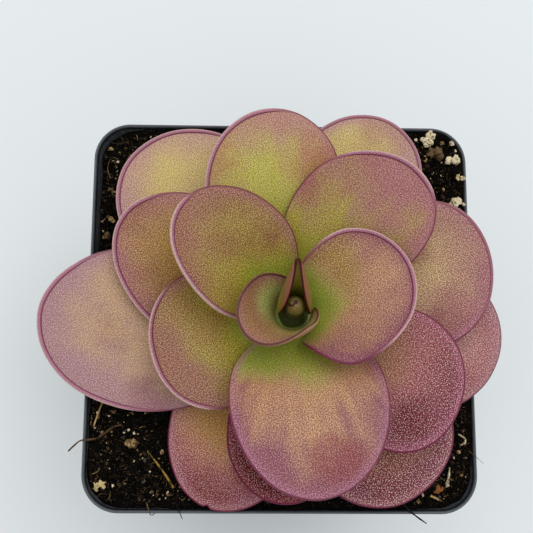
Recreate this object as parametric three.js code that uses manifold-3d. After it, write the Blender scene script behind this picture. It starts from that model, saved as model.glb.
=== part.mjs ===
// A butterwort in a square nursery pot: eighteen fleshy leaves in one spiral rosette round a
// short crown, a furled bud in the middle, potting mix with perlite and bark, and the pot.
// Millimetres, +Z up. The origin is the centre of the pot's flat underside.
import * as THREE from 'three';
import { mergeVertices } from 'three/addons/utils/BufferGeometryUtils.js';
import Module from 'manifold-3d';

const wasm = await Module();
wasm.setup();

// ---------------------------------------------------------------- driving dimensions
const POT_RIM_WIDTH = 76;
// The pot is this much deeper from front to back than it is wide.
const POT_DEPTH_SHARE = 1.015;
const POT_BASE_WIDTH = 55;
const POT_HEIGHT = 70;
const POT_WALL = 1.2;
const POT_FLOOR = 2;
const POT_BAND_FOOT = 61;
const POT_BAND_STEP = 0.9;
const POT_BAND_SLOPE = 0.8;
const POT_LIP = 0.45;
const POT_FOOT_CHAMFER = 0.5;
const POT_RIM_CORNER_RADIUS = 7.2;
const POT_BASE_CORNER_RADIUS = 5.5;
const POT_CORNER_STEPS = 6;
const DRAIN_HOLE_DIAMETER = 8;
const DRAIN_HOLE_SIDES = 20;
const DRAIN_HOLE_OFFSET = 18.5;

const GAP = 0.3;

const CROWN_X = 2;
const CROWN_Y = -1;
const CROWN_RADIUS = 4.2;
const CROWN_FOOT = 57;
const CROWN_TOP = 79;
const CROWN_SIDES = 20;
// Its outline from the blunt foot to the domed top: radius and height above the foot or, where
// negative, below the top.
const CROWN_PROFILE = [
  [1.6, 0],
  [3.2, 3],
  [CROWN_RADIUS, 8],
  [CROWN_RADIUS, -5],
  [CROWN_RADIUS - 0.4, -2.5],
  [CROWN_RADIUS - 1.2, -1],
  [CROWN_RADIUS - 2.5, -0.3],
];

// The mix is lowest round the crown and mounds up by SOIL_MOUND toward the walls.
const SOIL_LEVEL = 66.8;
const SOIL_MOUND = 1.3;
const SOIL_MOUND_FROM = 6;
const SOIL_MOUND_TO = 18;
const SOIL_RISE_TO_RIGHT = 0.012;
const SOIL_RISE_TO_BACK = 0.008;
const SOIL_CELLS = 22;
// The waves that make its top lumpy: height, turn per millimetre along X and along Y, and phase.
const SOIL_WAVES = [
  [0.1, 0.55, 0.47, 0.8],
  [0.1, 0.55, -0.47, 0.8],
  [0.14, -0.61, 0.93, 0],
  [0.1, 1.31, 0.77, 2],
];
const GRAIN_COUNT = 46;
const GRAIN_SIZE = [0.7, 1.4];
const GRAIN_TOP = 69.5;
const GRAIN_BELT = 16;
const GRAIN_SEED = 11;
// The larger pieces of perlite and bark that lie in the corners: place, radius and height share.
const SOIL_PIECES = [
  [30.2, 33.8, 1.5, 0.7],
  [32.6, 32, 1.6, 0.6],
  [34, 29.8, 1.4, 0.7],
  [34.2, 23.9, 1.4, 0.5],
  [-34, 33.4, 0.9, 0.8],
  [-34.2, 19, 1.3, 0.5],
  [-34.4, 25, 1.3, 0.8],
  [-32.8, -32.2, 1.7, 0.5],
  [-29.2, -25.3, 1.3, 0.6],
  [-31.5, -21.5, 1, 0.8],
  [30.8, -33.8, 1.2, 0.5],
  [32.8, -30.6, 1.1, 0.6],
  [-23, -30.4, 1.4, 0.5],
];

// A leaf's blade is this thick at its foot, out on the blade and at its rolled margin.
const FOOT_THICKNESS = 1;
const BLADE_THICKNESS = 0.85;
const MARGIN_THICKNESS = 0.75;
// The margin rolls up through MARGIN_ROLL_ANGLE, and less toward the foot of the leaf.
const MARGIN_ROLL_RADIUS = 0.65;
const MARGIN_ROLL_ANGLE = 100;
const MARGIN_ROLL_AT_FOOT = 30;
const NECK_LENGTH = 12;
const LEAF_ROOT = 1.2;
const FURL_LEAST_HALF_WIDTH = 2.2;
const LEAF_COLUMNS = 20;
const BLADE_ROWS = 3;
const ROLL_ROWS = 2;

// Each leaf, youngest first. azimuth turns anticlockwise from +X, seen from above. length runs
// along the midrib and width across the flattened blade, both in millimetres. fullness above 1
// puts the widest place nearer the tip. The midrib leaves the crown at the angle rise above
// level and reaches the tip at the angle end. foot is the height where it leaves the crown's
// axis. cup is the angle through which each half of the blade curls up, roll turns the blade
// about its midrib and bend carries the tip sideways, anticlockwise when positive. start is how
// far from the crown's axis the midrib begins. wrap is the sharper curl of a sheathing foot, and
// furl rolls a young leaf into a hood, through its first angle at the foot and its second above.
const LEAVES = [
  {
    name: 'leaf_01', colour: 0x8a6a50, azimuth: 90, length: 16.5, width: 12.5, fullness: 0.85,
    rise: 78, end: 63, foot: 77.8, bend: 0, start: 2.1, neck: 1, roll: 0, furl: [95, 158], margin: 20,
    point: 0.3,
  },
  {
    name: 'leaf_02', colour: 0x94876a, azimuth: 212.7, length: 15.7, width: 21.8, fullness: 0.76,
    rise: 80, end: 45.9, foot: 76.5, bend: 0.2, start: 3.5, neck: 1.1, roll: 18.2, cup: 94.2, wrap: 170.6,
  },
  {
    name: 'leaf_03', colour: 0x9f8864, azimuth: 6, length: 22.5, width: 27.5, fullness: 0.8,
    rise: 52.5, end: 8, foot: 76.6, bend: 2, start: 3, neck: 0.8, roll: -14, cup: 27, wrap: 130,
  },
  {
    name: 'leaf_04', colour: 0x8f7a52, azimuth: 137, length: 29.5, width: 22.5, fullness: 1.05,
    rise: 51, end: 12.5, foot: 74.7, bend: 0.5, start: 3, neck: 0.8, roll: 10.5, cup: 17, wrap: 44,
  },
  {
    name: 'leaf_05', colour: 0xa5806d, azimuth: 278.5, length: 34.5, width: 28.5, fullness: 1,
    rise: 49, end: 1.5, foot: 75.4, bend: -0.5, start: 3, neck: 1, roll: -5, cup: 9.5,
  },
  {
    name: 'leaf_06', colour: 0x97704f, azimuth: 57.5, length: 34, width: 25.5, fullness: 1.3,
    rise: 37, end: 9.5, foot: 73.8, bend: -3, start: 3, neck: 0.6, roll: -3, cup: 2.5,
  },
  {
    name: 'leaf_07', colour: 0x9a7256, azimuth: 198.5, length: 26, width: 26, fullness: 1.25,
    rise: 31.5, end: 4, foot: 73.2, bend: 0.5, start: 3, neck: 0.6, roll: 1, cup: 6,
  },
  {
    name: 'leaf_08', colour: 0x8f5a5e, azimuth: 329.5, length: 33.5, width: 26, fullness: 1.5,
    rise: 28.5, end: 3.5, foot: 72.7, bend: -2, start: 3, neck: 0.6, roll: -3, cup: 4,
  },
  {
    name: 'leaf_09', colour: 0xa48a5a, azimuth: 100, length: 37.5, width: 27, fullness: 1.2,
    rise: 29.5, end: 4.5, foot: 72.3, bend: -1, start: 3, neck: 0.6, roll: 1, cup: 2,
  },
  {
    name: 'leaf_10', colour: 0x6a3c42, azimuth: 263.5, length: 33, width: 20.5, fullness: 1.45,
    rise: 24.5, end: 2.5, foot: 71.7, bend: 1.5, start: 3, neck: 0.6, roll: 1.5, cup: 2,
  },
  {
    name: 'leaf_11', colour: 0xa88078, azimuth: 15, length: 37.5, width: 28, fullness: 1.55,
    rise: 23, end: -1, foot: 71.2, bend: 2, start: 3, neck: 0.6, roll: 2, cup: 4.5,
  },
  {
    name: 'leaf_12', colour: 0x916c4d, azimuth: 156.5, length: 35.5, width: 28, fullness: 0.85,
    rise: 24, end: 2, foot: 71, bend: -2, start: 3, neck: 0.6, roll: 0, cup: 0.5,
  },
  {
    name: 'leaf_13', colour: 0x7c4a4e, azimuth: 306.5, length: 38.5, width: 28, fullness: 1.5,
    rise: 19, end: -2.5, foot: 70.2, bend: 0, start: 3, neck: 0.6, roll: 0, cup: 3,
  },
  {
    name: 'leaf_14', colour: 0xab8a6c, azimuth: 65.5, length: 41, width: 26.5, fullness: 1.3,
    rise: 17.5, end: -1, foot: 69.7, bend: -1, start: 3, neck: 0.6, roll: -1, cup: 0.5,
  },
  {
    name: 'leaf_15', colour: 0xbd9c92, azimuth: 187.5, length: 46, width: 32, fullness: 1.1,
    rise: 17, end: -2.5, foot: 69.4, bend: -3, start: 3, neck: 0.6, roll: -4.5, cup: -2,
  },
  {
    name: 'leaf_16', colour: 0xae8590, azimuth: 350.5, length: 38.5, width: 29, fullness: 1.35,
    rise: 14, end: -3.5, foot: 68.7, bend: 1, start: 3, neck: 0.6, roll: 0, cup: 0.5,
  },
  {
    name: 'leaf_17', colour: 0xad8c70, azimuth: 128, length: 43, width: 31.5, fullness: 1.25,
    rise: 12.5, end: -4, foot: 68.2, bend: 2, start: 3, neck: 0.6, roll: 1.5, cup: 0.5,
  },
  {
    name: 'leaf_18', colour: 0x94605f, azimuth: 243.5, length: 37, width: 26.5, fullness: 1.05,
    rise: 13, end: -4.5, foot: 68.1, bend: 1, start: 3, neck: 0.6, roll: 0, cup: 0,
  },
];

// The bud is a leaf still rolled up like a scroll: a knob whose wall steps in where the roll
// ends, and the step winds up to the point of the knob.
const BUD_RADIUS = 2;
const BUD_FOOT = 79.3;
const BUD_HEIGHT = 7.6;
const BUD_STEP = 0.14;
const BUD_TWIST = 250;
// Its point lies this far from its axis, toward the front when positive.
const BUD_LEAN = -0.8;
// Latitudes of its foot and its point on the rounded knob.
const BUD_FOOT_LATITUDE = -49;
const BUD_POINT_LATITUDE = 83;
const BUD_AROUND = 18;
const BUD_LEVELS = 9;

// ---------------------------------------------------------------- helpers
const radians = THREE.MathUtils.degToRad;
const lerp = THREE.MathUtils.lerp;

// Rises smoothly from 0 at a to 1 at b.
function ease(x, a, b) {
  return THREE.MathUtils.smoothstep(x, a, b);
}

// A repeatable stream of draws between 0 and 1.
function seededRandom(seed) {
  let state = seed;
  return () => {
    state = (state * 1664525 + 1013904223) % 4294967296;
    return state / 4294967296;
  };
}

function indexedGeometry(positions, triangles) {
  const geometry = new THREE.BufferGeometry();
  geometry.setAttribute('position', new THREE.Float32BufferAttribute(positions, 3));
  geometry.setIndex(triangles);
  return geometry;
}

function toSolid(geometry) {
  const bare = geometry.clone();
  bare.deleteAttribute('normal');
  bare.deleteAttribute('uv');
  const merged = mergeVertices(bare, 1e-4);
  return new wasm.Manifold(new wasm.Mesh({
    numProp: 3,
    vertProperties: new Float32Array(merged.attributes.position.array),
    triVerts: new Uint32Array(merged.index.array),
  }));
}

function toGeometry(solid) {
  const mesh = solid.getMesh();
  return indexedGeometry(Array.from(mesh.vertProperties), Array.from(mesh.triVerts));
}

function namedMesh(name, geometry, colour, roughness) {
  const faceted = geometry.toNonIndexed();
  faceted.computeVertexNormals();
  const finish = new THREE.MeshStandardMaterial({ color: colour, roughness, metalness: 0 });
  const mesh = new THREE.Mesh(faceted, finish);
  mesh.name = name;
  return mesh;
}

// ---------------------------------------------------------------- rounded square shells
// One level ring of a rounded square, drawn out a little along Y: its half width, corner radius
// and height.
function squareRing(half, radius, z) {
  const ring = [];
  for (let corner = 0; corner < 4; corner += 1) {
    const middle = radians(45 + 90 * corner);
    const cx = Math.SQRT2 * (half - radius) * Math.cos(middle);
    const cy = Math.SQRT2 * (half - radius) * Math.sin(middle);
    for (let step = 0; step <= POT_CORNER_STEPS; step += 1) {
      const angle = radians(90 * corner + (90 * step) / POT_CORNER_STEPS);
      const y = POT_DEPTH_SHARE * (cy + radius * Math.sin(angle));
      ring.push([cx + radius * Math.cos(angle), y, z]);
    }
  }
  return ring;
}

// Joins a stack of such rings from the foot upward, closed by a flat fan at each end.
function stackRings(rings) {
  const around = rings[0].length;
  const positions = rings.flat(2);
  const triangles = [];
  for (let level = 0; level < rings.length - 1; level += 1) {
    for (let k = 0; k < around; k += 1) {
      const a = level * around + k;
      const b = level * around + ((k + 1) % around);
      triangles.push(a, b, b + around, a, b + around, a + around);
    }
  }
  const last = (rings.length - 1) * around;
  for (let k = 1; k < around - 1; k += 1) {
    triangles.push(0, k + 1, k);
    triangles.push(last, last + k, last + k + 1);
  }
  return indexedGeometry(positions, triangles);
}

// A ring of the pot's tapered wall at height z: out is measured from the body's outside, and the
// band round the top stands out by POT_BAND_STEP, inside as well as outside.
function wallRing(z, out) {
  const share = z / POT_HEIGHT;
  const half = lerp(POT_BASE_WIDTH / 2, POT_RIM_WIDTH / 2 - POT_BAND_STEP, share);
  const radius = lerp(POT_BASE_CORNER_RADIUS, POT_RIM_CORNER_RADIUS - POT_BAND_STEP, share);
  return squareRing(half + out, radius + out, z);
}

// ---------------------------------------------------------------- pot
// A tapered body, a band round the top, a rounded lip, and a drain hole in each corner of the
// floor.
function buildPot() {
  const inBand = POT_BAND_STEP - POT_WALL;
  let pot = toSolid(stackRings([
    wallRing(0, -POT_FOOT_CHAMFER),
    wallRing(POT_FOOT_CHAMFER, 0),
    wallRing(POT_BAND_FOOT - POT_BAND_SLOPE, 0),
    wallRing(POT_BAND_FOOT, POT_BAND_STEP),
    wallRing(POT_HEIGHT - POT_LIP, POT_BAND_STEP),
    wallRing(POT_HEIGHT, POT_BAND_STEP - POT_LIP),
    wallRing(POT_HEIGHT, inBand + POT_LIP / 2),
    wallRing(POT_HEIGHT - POT_LIP, inBand),
    wallRing(POT_BAND_FOOT + POT_BAND_SLOPE / 2, inBand),
    wallRing(POT_BAND_FOOT - POT_BAND_SLOPE / 2, -POT_WALL),
    wallRing(POT_FLOOR, -POT_WALL),
  ]));
  for (const sx of [-1, 1]) {
    for (const sy of [-1, 1]) {
      const radius = DRAIN_HOLE_DIAMETER / 2;
      const drill = new THREE.CylinderGeometry(radius, radius, 3 * POT_FLOOR, DRAIN_HOLE_SIDES);
      drill.rotateX(Math.PI / 2);
      drill.translate(sx * DRAIN_HOLE_OFFSET, sy * DRAIN_HOLE_OFFSET, POT_FLOOR / 2);
      pot = pot.subtract(toSolid(drill));
    }
  }
  return namedMesh('pot', toGeometry(pot), 0x232427, 0.45);
}

// ---------------------------------------------------------------- soil
// Height of the mix at a place: it mounds and slopes a little and is lumpy.
function soilHeight(x, y) {
  const reach = Math.hypot(x - CROWN_X, y - CROWN_Y);
  let height = SOIL_LEVEL + SOIL_MOUND * ease(reach, SOIL_MOUND_FROM, SOIL_MOUND_TO);
  height += SOIL_RISE_TO_RIGHT * x + SOIL_RISE_TO_BACK * y;
  for (const [size, alongX, alongY, phase] of SOIL_WAVES) {
    height += size * Math.sin(alongX * x + alongY * y + phase);
  }
  return height;
}

// One angular grain: an icosahedron stretched and turned at random, half sunk into the mix.
function buildGrain(x, y, size, flatness, random) {
  const grain = new THREE.IcosahedronGeometry(size, 0);
  grain.scale(lerp(0.8, 1.25, random()), lerp(0.7, 1, random()), flatness);
  grain.rotateZ(random() * Math.PI);
  grain.rotateX((random() - 0.5) * 0.6);
  const centre = Math.min(soilHeight(x, y), GRAIN_TOP - size * flatness);
  grain.translate(x, y, centre);
  return toSolid(grain);
}

// A block with a lumpy top, set with grains, trimmed to the inside of the pot less GAP.
function buildSoil(crownSpace) {
  const side = SOIL_CELLS + 1;
  const half = POT_RIM_WIDTH / 2 - POT_WALL;
  const blockHalf = POT_RIM_WIDTH / 2;
  const positions = [];
  const triangles = [];
  for (let row = 0; row < side; row += 1) {
    for (let column = 0; column < side; column += 1) {
      const x = blockHalf * ((2 * column) / SOIL_CELLS - 1);
      const y = blockHalf * ((2 * row) / SOIL_CELLS - 1);
      positions.push(x, y, soilHeight(x, y));
    }
  }
  for (let row = 0; row < SOIL_CELLS; row += 1) {
    for (let column = 0; column < SOIL_CELLS; column += 1) {
      const a = row * side + column;
      triangles.push(a, a + 1, a + side + 1, a, a + side + 1, a + side);
    }
  }
  // Each side is a fan from one lower corner to the edge of the top, taken anticlockwise.
  const below = positions.length / 3;
  for (const [x, y] of [[-1, -1], [1, -1], [1, 1], [-1, 1]]) {
    positions.push(x * blockHalf, y * blockHalf, 0);
  }
  const edges = [
    [0, 1],
    [SOIL_CELLS, side],
    [SOIL_CELLS * side + SOIL_CELLS, -1],
    [SOIL_CELLS * side, -side],
  ];
  edges.forEach(([from, step], corner) => {
    for (let k = 0; k < SOIL_CELLS; k += 1) {
      triangles.push(below + corner, from + step * (k + 1), from + step * k);
    }
    triangles.push(below + corner, below + ((corner + 1) % 4), from + step * SOIL_CELLS);
  });
  triangles.push(below, below + 2, below + 1, below, below + 3, below + 2);
  let soil = toSolid(indexedGeometry(positions, triangles));

  const random = seededRandom(GRAIN_SEED);
  const reach = half - GAP;
  for (const [x, y, size, flatness] of SOIL_PIECES) {
    soil = soil.add(buildGrain(x, y, size, flatness, random));
  }
  for (let k = 0; k < GRAIN_COUNT; k += 1) {
    const size = lerp(GRAIN_SIZE[0], GRAIN_SIZE[1], random() ** 2);
    const edgeRoom = reach - 1.3 * size;
    const along = lerp(-edgeRoom, edgeRoom, random());
    const inward = edgeRoom - GRAIN_BELT * random() ** 1.5;
    const [x, y] = [[along, inward], [along, -inward], [inward, along], [-inward, along]][k % 4];
    const inCorner = Math.abs(x) > edgeRoom - 3 && Math.abs(y) > edgeRoom - 3;
    const byCrown = Math.hypot(x - CROWN_X, y - CROWN_Y) < CROWN_RADIUS + 3;
    if (!inCorner && !byCrown) {
      soil = soil.add(buildGrain(x, y, size, lerp(0.5, 0.9, random()), random));
    }
  }
  const bore = toSolid(stackRings([
    wallRing(POT_FLOOR + GAP, -POT_WALL - GAP),
    wallRing(POT_BAND_FOOT - POT_BAND_SLOPE / 2, -POT_WALL - GAP),
    wallRing(POT_BAND_FOOT + POT_BAND_SLOPE / 2 + GAP, POT_BAND_STEP - POT_WALL - GAP),
    wallRing(POT_HEIGHT, POT_BAND_STEP - POT_WALL - GAP),
  ]));
  soil = soil.intersect(bore).subtract(crownSpace);
  return namedMesh('soil', toGeometry(soil), 0x2a211b, 0.95);
}

// ---------------------------------------------------------------- crown
// The short upright stem, a lathe shape, made larger all round by out for the space it needs.
function crownShape(out) {
  const profile = [new THREE.Vector2(0, CROWN_FOOT - out)];
  for (const [radius, height] of CROWN_PROFILE) {
    const z = height < 0 ? CROWN_TOP + height + out : CROWN_FOOT + height - out;
    profile.push(new THREE.Vector2(radius + out, z));
  }
  profile.push(new THREE.Vector2(0, CROWN_TOP + out));
  const shape = new THREE.LatheGeometry(profile, CROWN_SIDES);
  shape.rotateX(Math.PI / 2);
  shape.translate(CROWN_X, CROWN_Y, 0);
  return toSolid(shape);
}

// ---------------------------------------------------------------- leaves
// Half width of the flattened blade at distance x along it: a superellipse-like curve whose
// widest place moves with fullness, narrowed over the last NECK_LENGTH before the crown and, by
// point, toward a pointed tip.
function neckFactor(leaf, x) {
  const tip = 1 - (leaf.point ?? 0) * ease(x / leaf.length, 0.45, 1);
  return lerp(leaf.neck, 1, ease(x, 0, NECK_LENGTH)) * tip;
}

function halfWidth(leaf, x) {
  const t = Math.min(Math.max(x / leaf.length, 0), 1) ** leaf.fullness;
  return leaf.width * Math.sqrt(t * (1 - t)) * neckFactor(leaf, x);
}

// How sharply the blade curls across at x, as angle per millimetre.
function crossCurl(leaf, x) {
  if (leaf.furl) {
    const angle = lerp(leaf.furl[0], leaf.furl[1], ease(x, 0, 0.6 * leaf.length));
    return radians(angle) / Math.max(halfWidth(leaf, x), FURL_LEAST_HALF_WIDTH);
  }
  const wrap = leaf.wrap ?? leaf.cup;
  return radians(lerp(wrap, leaf.cup, ease(x, 0, 0.6 * leaf.length))) / (leaf.width / 2);
}

// Carries a point of the flattened blade (x along, y across, lift off the face) into place: the
// midrib is an arc from the angle rise to the angle end, and the section across is an arc too.
function placeOnLeaf(leaf, x, y, lift) {
  const start = radians(leaf.rise);
  const turn = radians(leaf.end - leaf.rise) / leaf.length;
  const slope = start + turn * x;
  const out = leaf.start + (Math.sin(slope) - Math.sin(start)) / turn;
  const up = leaf.foot - (Math.cos(slope) - Math.cos(start)) / turn;
  let curl = crossCurl(leaf, x);
  if (Math.abs(curl) < 1e-5) {
    curl = 1e-5;
  }
  const radius = 1 / curl;
  const across = (radius - lift) * Math.sin(curl * y);
  const rise = radius - (radius - lift) * Math.cos(curl * y);
  const roll = radians(leaf.roll) * ease(x, 0, 0.7 * leaf.length);
  const side = across * Math.cos(roll) - rise * Math.sin(roll) + leaf.bend * (x / leaf.length) ** 2;
  const off = across * Math.sin(roll) + rise * Math.cos(roll);
  const reach = out - Math.sin(slope) * off;
  const azimuth = radians(leaf.azimuth);
  return [
    CROWN_X + reach * Math.cos(azimuth) - side * Math.sin(azimuth),
    CROWN_Y + reach * Math.sin(azimuth) + side * Math.cos(azimuth),
    up + Math.cos(slope) * off,
  ];
}

// The flattened blade is a fan: each column runs from a point of the midrib out to the rim of
// the leaf, over the blade and then round the rolled margin. side is 1 on the upper face and
// -1 on the lower one, and both faces have the same columns and rows.
function leafFace(leaf, side) {
  const first = Math.acos(1 - 2 * (LEAF_ROOT / leaf.length) ** leaf.fullness);
  const face = [];
  for (let column = 0; column <= LEAF_COLUMNS; column += 1) {
    const angle = lerp(first, 2 * Math.PI - first, column / LEAF_COLUMNS);
    const x = leaf.length * ((1 - Math.cos(angle)) / 2) ** (1 / leaf.fullness);
    const y = (leaf.width / 2) * Math.sin(angle) * neckFactor(leaf, x);
    const spine = x * (1 - 0.25 * (x / leaf.length) ** 3);
    const length = Math.hypot(x - spine, y);
    const ux = (x - spine) / length;
    const uy = y / length;
    const flat = length - MARGIN_ROLL_RADIUS - MARGIN_THICKNESS / 2;
    const roll = radians(lerp(MARGIN_ROLL_AT_FOOT, leaf.margin ?? MARGIN_ROLL_ANGLE, ease(x, 2, 14)));
    const points = [];
    for (let row = 0; row <= BLADE_ROWS; row += 1) {
      const share = row / BLADE_ROWS;
      const px = spine + ux * flat * share;
      const blade = lerp(FOOT_THICKNESS, BLADE_THICKNESS, ease(px, 0, 0.8 * leaf.length));
      const thickness = lerp(blade, MARGIN_THICKNESS, share ** 2);
      points.push(placeOnLeaf(leaf, px, uy * flat * share, (side * thickness) / 2));
    }
    const radius = MARGIN_ROLL_RADIUS - (side * MARGIN_THICKNESS) / 2;
    for (let row = 1; row <= ROLL_ROWS; row += 1) {
      const turned = (roll * row) / ROLL_ROWS;
      const out = flat + radius * Math.sin(turned);
      const lift = MARGIN_ROLL_RADIUS - radius * Math.cos(turned);
      points.push(placeOnLeaf(leaf, spine + ux * out, uy * out, lift));
    }
    face.push(points);
  }
  return face;
}

// Closes the two faces of a leaf into one solid and clears the crown from its foot.
function buildLeaf(leaf, crownSpace) {
  const rows = BLADE_ROWS + ROLL_ROWS;
  const perFace = (LEAF_COLUMNS + 1) * (rows + 1);
  const positions = [leafFace(leaf, 1), leafFace(leaf, -1)].flat(3);
  // The two halves of the fan share the points of the midrib.
  const at = (face, column, row) => {
    const shared = row === 0 ? Math.min(column, LEAF_COLUMNS - column) : column;
    return face * perFace + shared * (rows + 1) + row;
  };
  const triangles = [];
  const quad = (a, b, c, d) => {
    for (const [p, q, r] of [[a, c, b], [a, d, c]]) {
      if (p !== q && q !== r && r !== p) {
        triangles.push(p, q, r);
      }
    }
  };
  for (let column = 0; column < LEAF_COLUMNS; column += 1) {
    for (let row = 0; row < rows; row += 1) {
      quad(at(0, column, row), at(0, column, row + 1), at(0, column + 1, row + 1), at(0, column + 1, row));
      quad(at(1, column, row), at(1, column + 1, row), at(1, column + 1, row + 1), at(1, column, row + 1));
    }
    quad(at(0, column, rows), at(1, column, rows), at(1, column + 1, rows), at(0, column + 1, rows));
  }
  for (let row = 0; row < rows; row += 1) {
    quad(at(0, 0, row), at(1, 0, row), at(1, 0, row + 1), at(0, 0, row + 1));
    const end = LEAF_COLUMNS;
    quad(at(0, end, row), at(0, end, row + 1), at(1, end, row + 1), at(1, end, row));
  }
  const solid = toSolid(indexedGeometry(positions, triangles)).subtract(crownSpace);
  return namedMesh(leaf.name, toGeometry(solid), leaf.colour, 0.5);
}

// ---------------------------------------------------------------- bud
// Level rings of a scroll: the radius grows by BUD_STEP once round, so each ring has a step,
// and the rings turn as they rise. Their size follows a rounded knob narrowed at its foot.
function buildBud() {
  const ringSize = BUD_AROUND + 1;
  const low = Math.sin(radians(BUD_FOOT_LATITUDE));
  const high = Math.sin(radians(BUD_POINT_LATITUDE));
  const positions = [];
  const triangles = [];
  for (let level = 0; level <= BUD_LEVELS; level += 1) {
    const share = level / BUD_LEVELS;
    const latitude = radians(lerp(BUD_FOOT_LATITUDE, BUD_POINT_LATITUDE, share));
    const radius = BUD_RADIUS * Math.cos(latitude) ** 0.8;
    const z = BUD_FOOT + (BUD_HEIGHT * (Math.sin(latitude) - low)) / (high - low);
    for (let k = 0; k < ringSize; k += 1) {
      const turn = k / BUD_AROUND;
      const around = 2 * Math.PI * turn + radians(BUD_TWIST * share);
      const reach = radius * (1 - BUD_STEP * (1 - turn));
      positions.push(CROWN_X + reach * Math.cos(around));
      positions.push(CROWN_Y - BUD_LEAN * share + reach * Math.sin(around));
      positions.push(z);
    }
  }
  for (let level = 0; level < BUD_LEVELS; level += 1) {
    for (let k = 0; k < ringSize; k += 1) {
      const a = level * ringSize + k;
      const b = level * ringSize + ((k + 1) % ringSize);
      triangles.push(a, b, b + ringSize, a, b + ringSize, a + ringSize);
    }
  }
  const foot = positions.length / 3;
  positions.push(CROWN_X, CROWN_Y, BUD_FOOT);
  positions.push(CROWN_X, CROWN_Y - BUD_LEAN, BUD_FOOT + BUD_HEIGHT);
  const last = BUD_LEVELS * ringSize;
  for (let k = 0; k < ringSize; k += 1) {
    const next = (k + 1) % ringSize;
    triangles.push(foot, next, k);
    triangles.push(foot + 1, last + k, last + next);
  }
  return namedMesh('bud', indexedGeometry(positions, triangles), 0x857049, 0.5);
}

const crownSpace = crownShape(GAP);
const group = new THREE.Group();
group.add(buildPot());
group.add(buildSoil(crownSpace));
group.add(namedMesh('crown', toGeometry(crownShape(0)), 0x6d7a3a, 0.6));
group.add(buildBud());
for (const leaf of LEAVES) {
  group.add(buildLeaf(leaf, crownSpace));
}

export default group;
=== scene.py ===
"""A butterwort in a square nursery pot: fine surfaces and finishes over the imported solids.

Every length is in millimetres until a mesh is written, which turns it into metres. +Z is up and
the origin is the centre of the pot's flat underside. The crown is the short stem in the middle
of the rosette, and a leaf is described flat first: x runs along its midrib and y across it.
"""

import functools
import itertools
import logging
import math
from dataclasses import dataclass, field
from enum import Enum

import bpy
import numpy as np
from mathutils import Matrix, Vector


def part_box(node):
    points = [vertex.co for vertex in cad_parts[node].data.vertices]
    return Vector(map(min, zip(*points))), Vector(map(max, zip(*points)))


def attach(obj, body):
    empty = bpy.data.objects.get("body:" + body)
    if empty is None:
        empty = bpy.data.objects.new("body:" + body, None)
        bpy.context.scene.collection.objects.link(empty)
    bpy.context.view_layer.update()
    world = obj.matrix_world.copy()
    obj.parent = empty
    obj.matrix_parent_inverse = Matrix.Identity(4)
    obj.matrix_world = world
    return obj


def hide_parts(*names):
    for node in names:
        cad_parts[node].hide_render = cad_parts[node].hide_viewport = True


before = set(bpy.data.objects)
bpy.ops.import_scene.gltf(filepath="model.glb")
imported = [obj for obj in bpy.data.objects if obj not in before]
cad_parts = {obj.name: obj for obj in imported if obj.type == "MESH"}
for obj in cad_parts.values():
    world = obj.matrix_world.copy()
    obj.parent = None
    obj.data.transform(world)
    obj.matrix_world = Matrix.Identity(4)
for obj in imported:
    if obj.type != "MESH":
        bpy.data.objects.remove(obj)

Numbers = np.ndarray | float
Socket = bpy.types.NodeSocket
Feed = Socket | float | tuple[float, ...]

LOG = logging.getLogger("butterwort")
METRE = 1000.0
ROOT = "root"


def centre_of(node: str) -> tuple[float, float]:
    """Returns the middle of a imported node, seen from above, in millimetres."""
    low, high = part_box(node)
    return METRE * (low.x + high.x) / 2, METRE * (low.y + high.y) / 2


CROWN_X, CROWN_Y = centre_of("crown")
CROWN_RADIUS = METRE * (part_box("crown")[1].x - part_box("crown")[0].x) / 2
CROWN_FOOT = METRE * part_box("crown")[0].z
CROWN_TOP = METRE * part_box("crown")[1].z
CROWN_GAP = 0.3
# The crown's outline, a blunt foot and a domed top: radius and height.
CROWN_PROFILE = (
    (1.6, CROWN_FOOT),
    (3.2, CROWN_FOOT + 3),
    (CROWN_RADIUS, CROWN_FOOT + 8),
    (CROWN_RADIUS, CROWN_TOP - 5),
    (CROWN_RADIUS - 0.4, CROWN_TOP - 2.5),
    (CROWN_RADIUS - 1.2, CROWN_TOP - 1),
    (CROWN_RADIUS - 2.5, CROWN_TOP - 0.3),
    (0.0, CROWN_TOP),
)


# ---------- colours
def linear(channel: float) -> float:
    """Turns a display channel from 0 to 255 into linear light."""
    share = channel / 255
    return share / 12.92 if share <= 0.04045 else ((share + 0.055) / 1.055) ** 2.4


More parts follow.
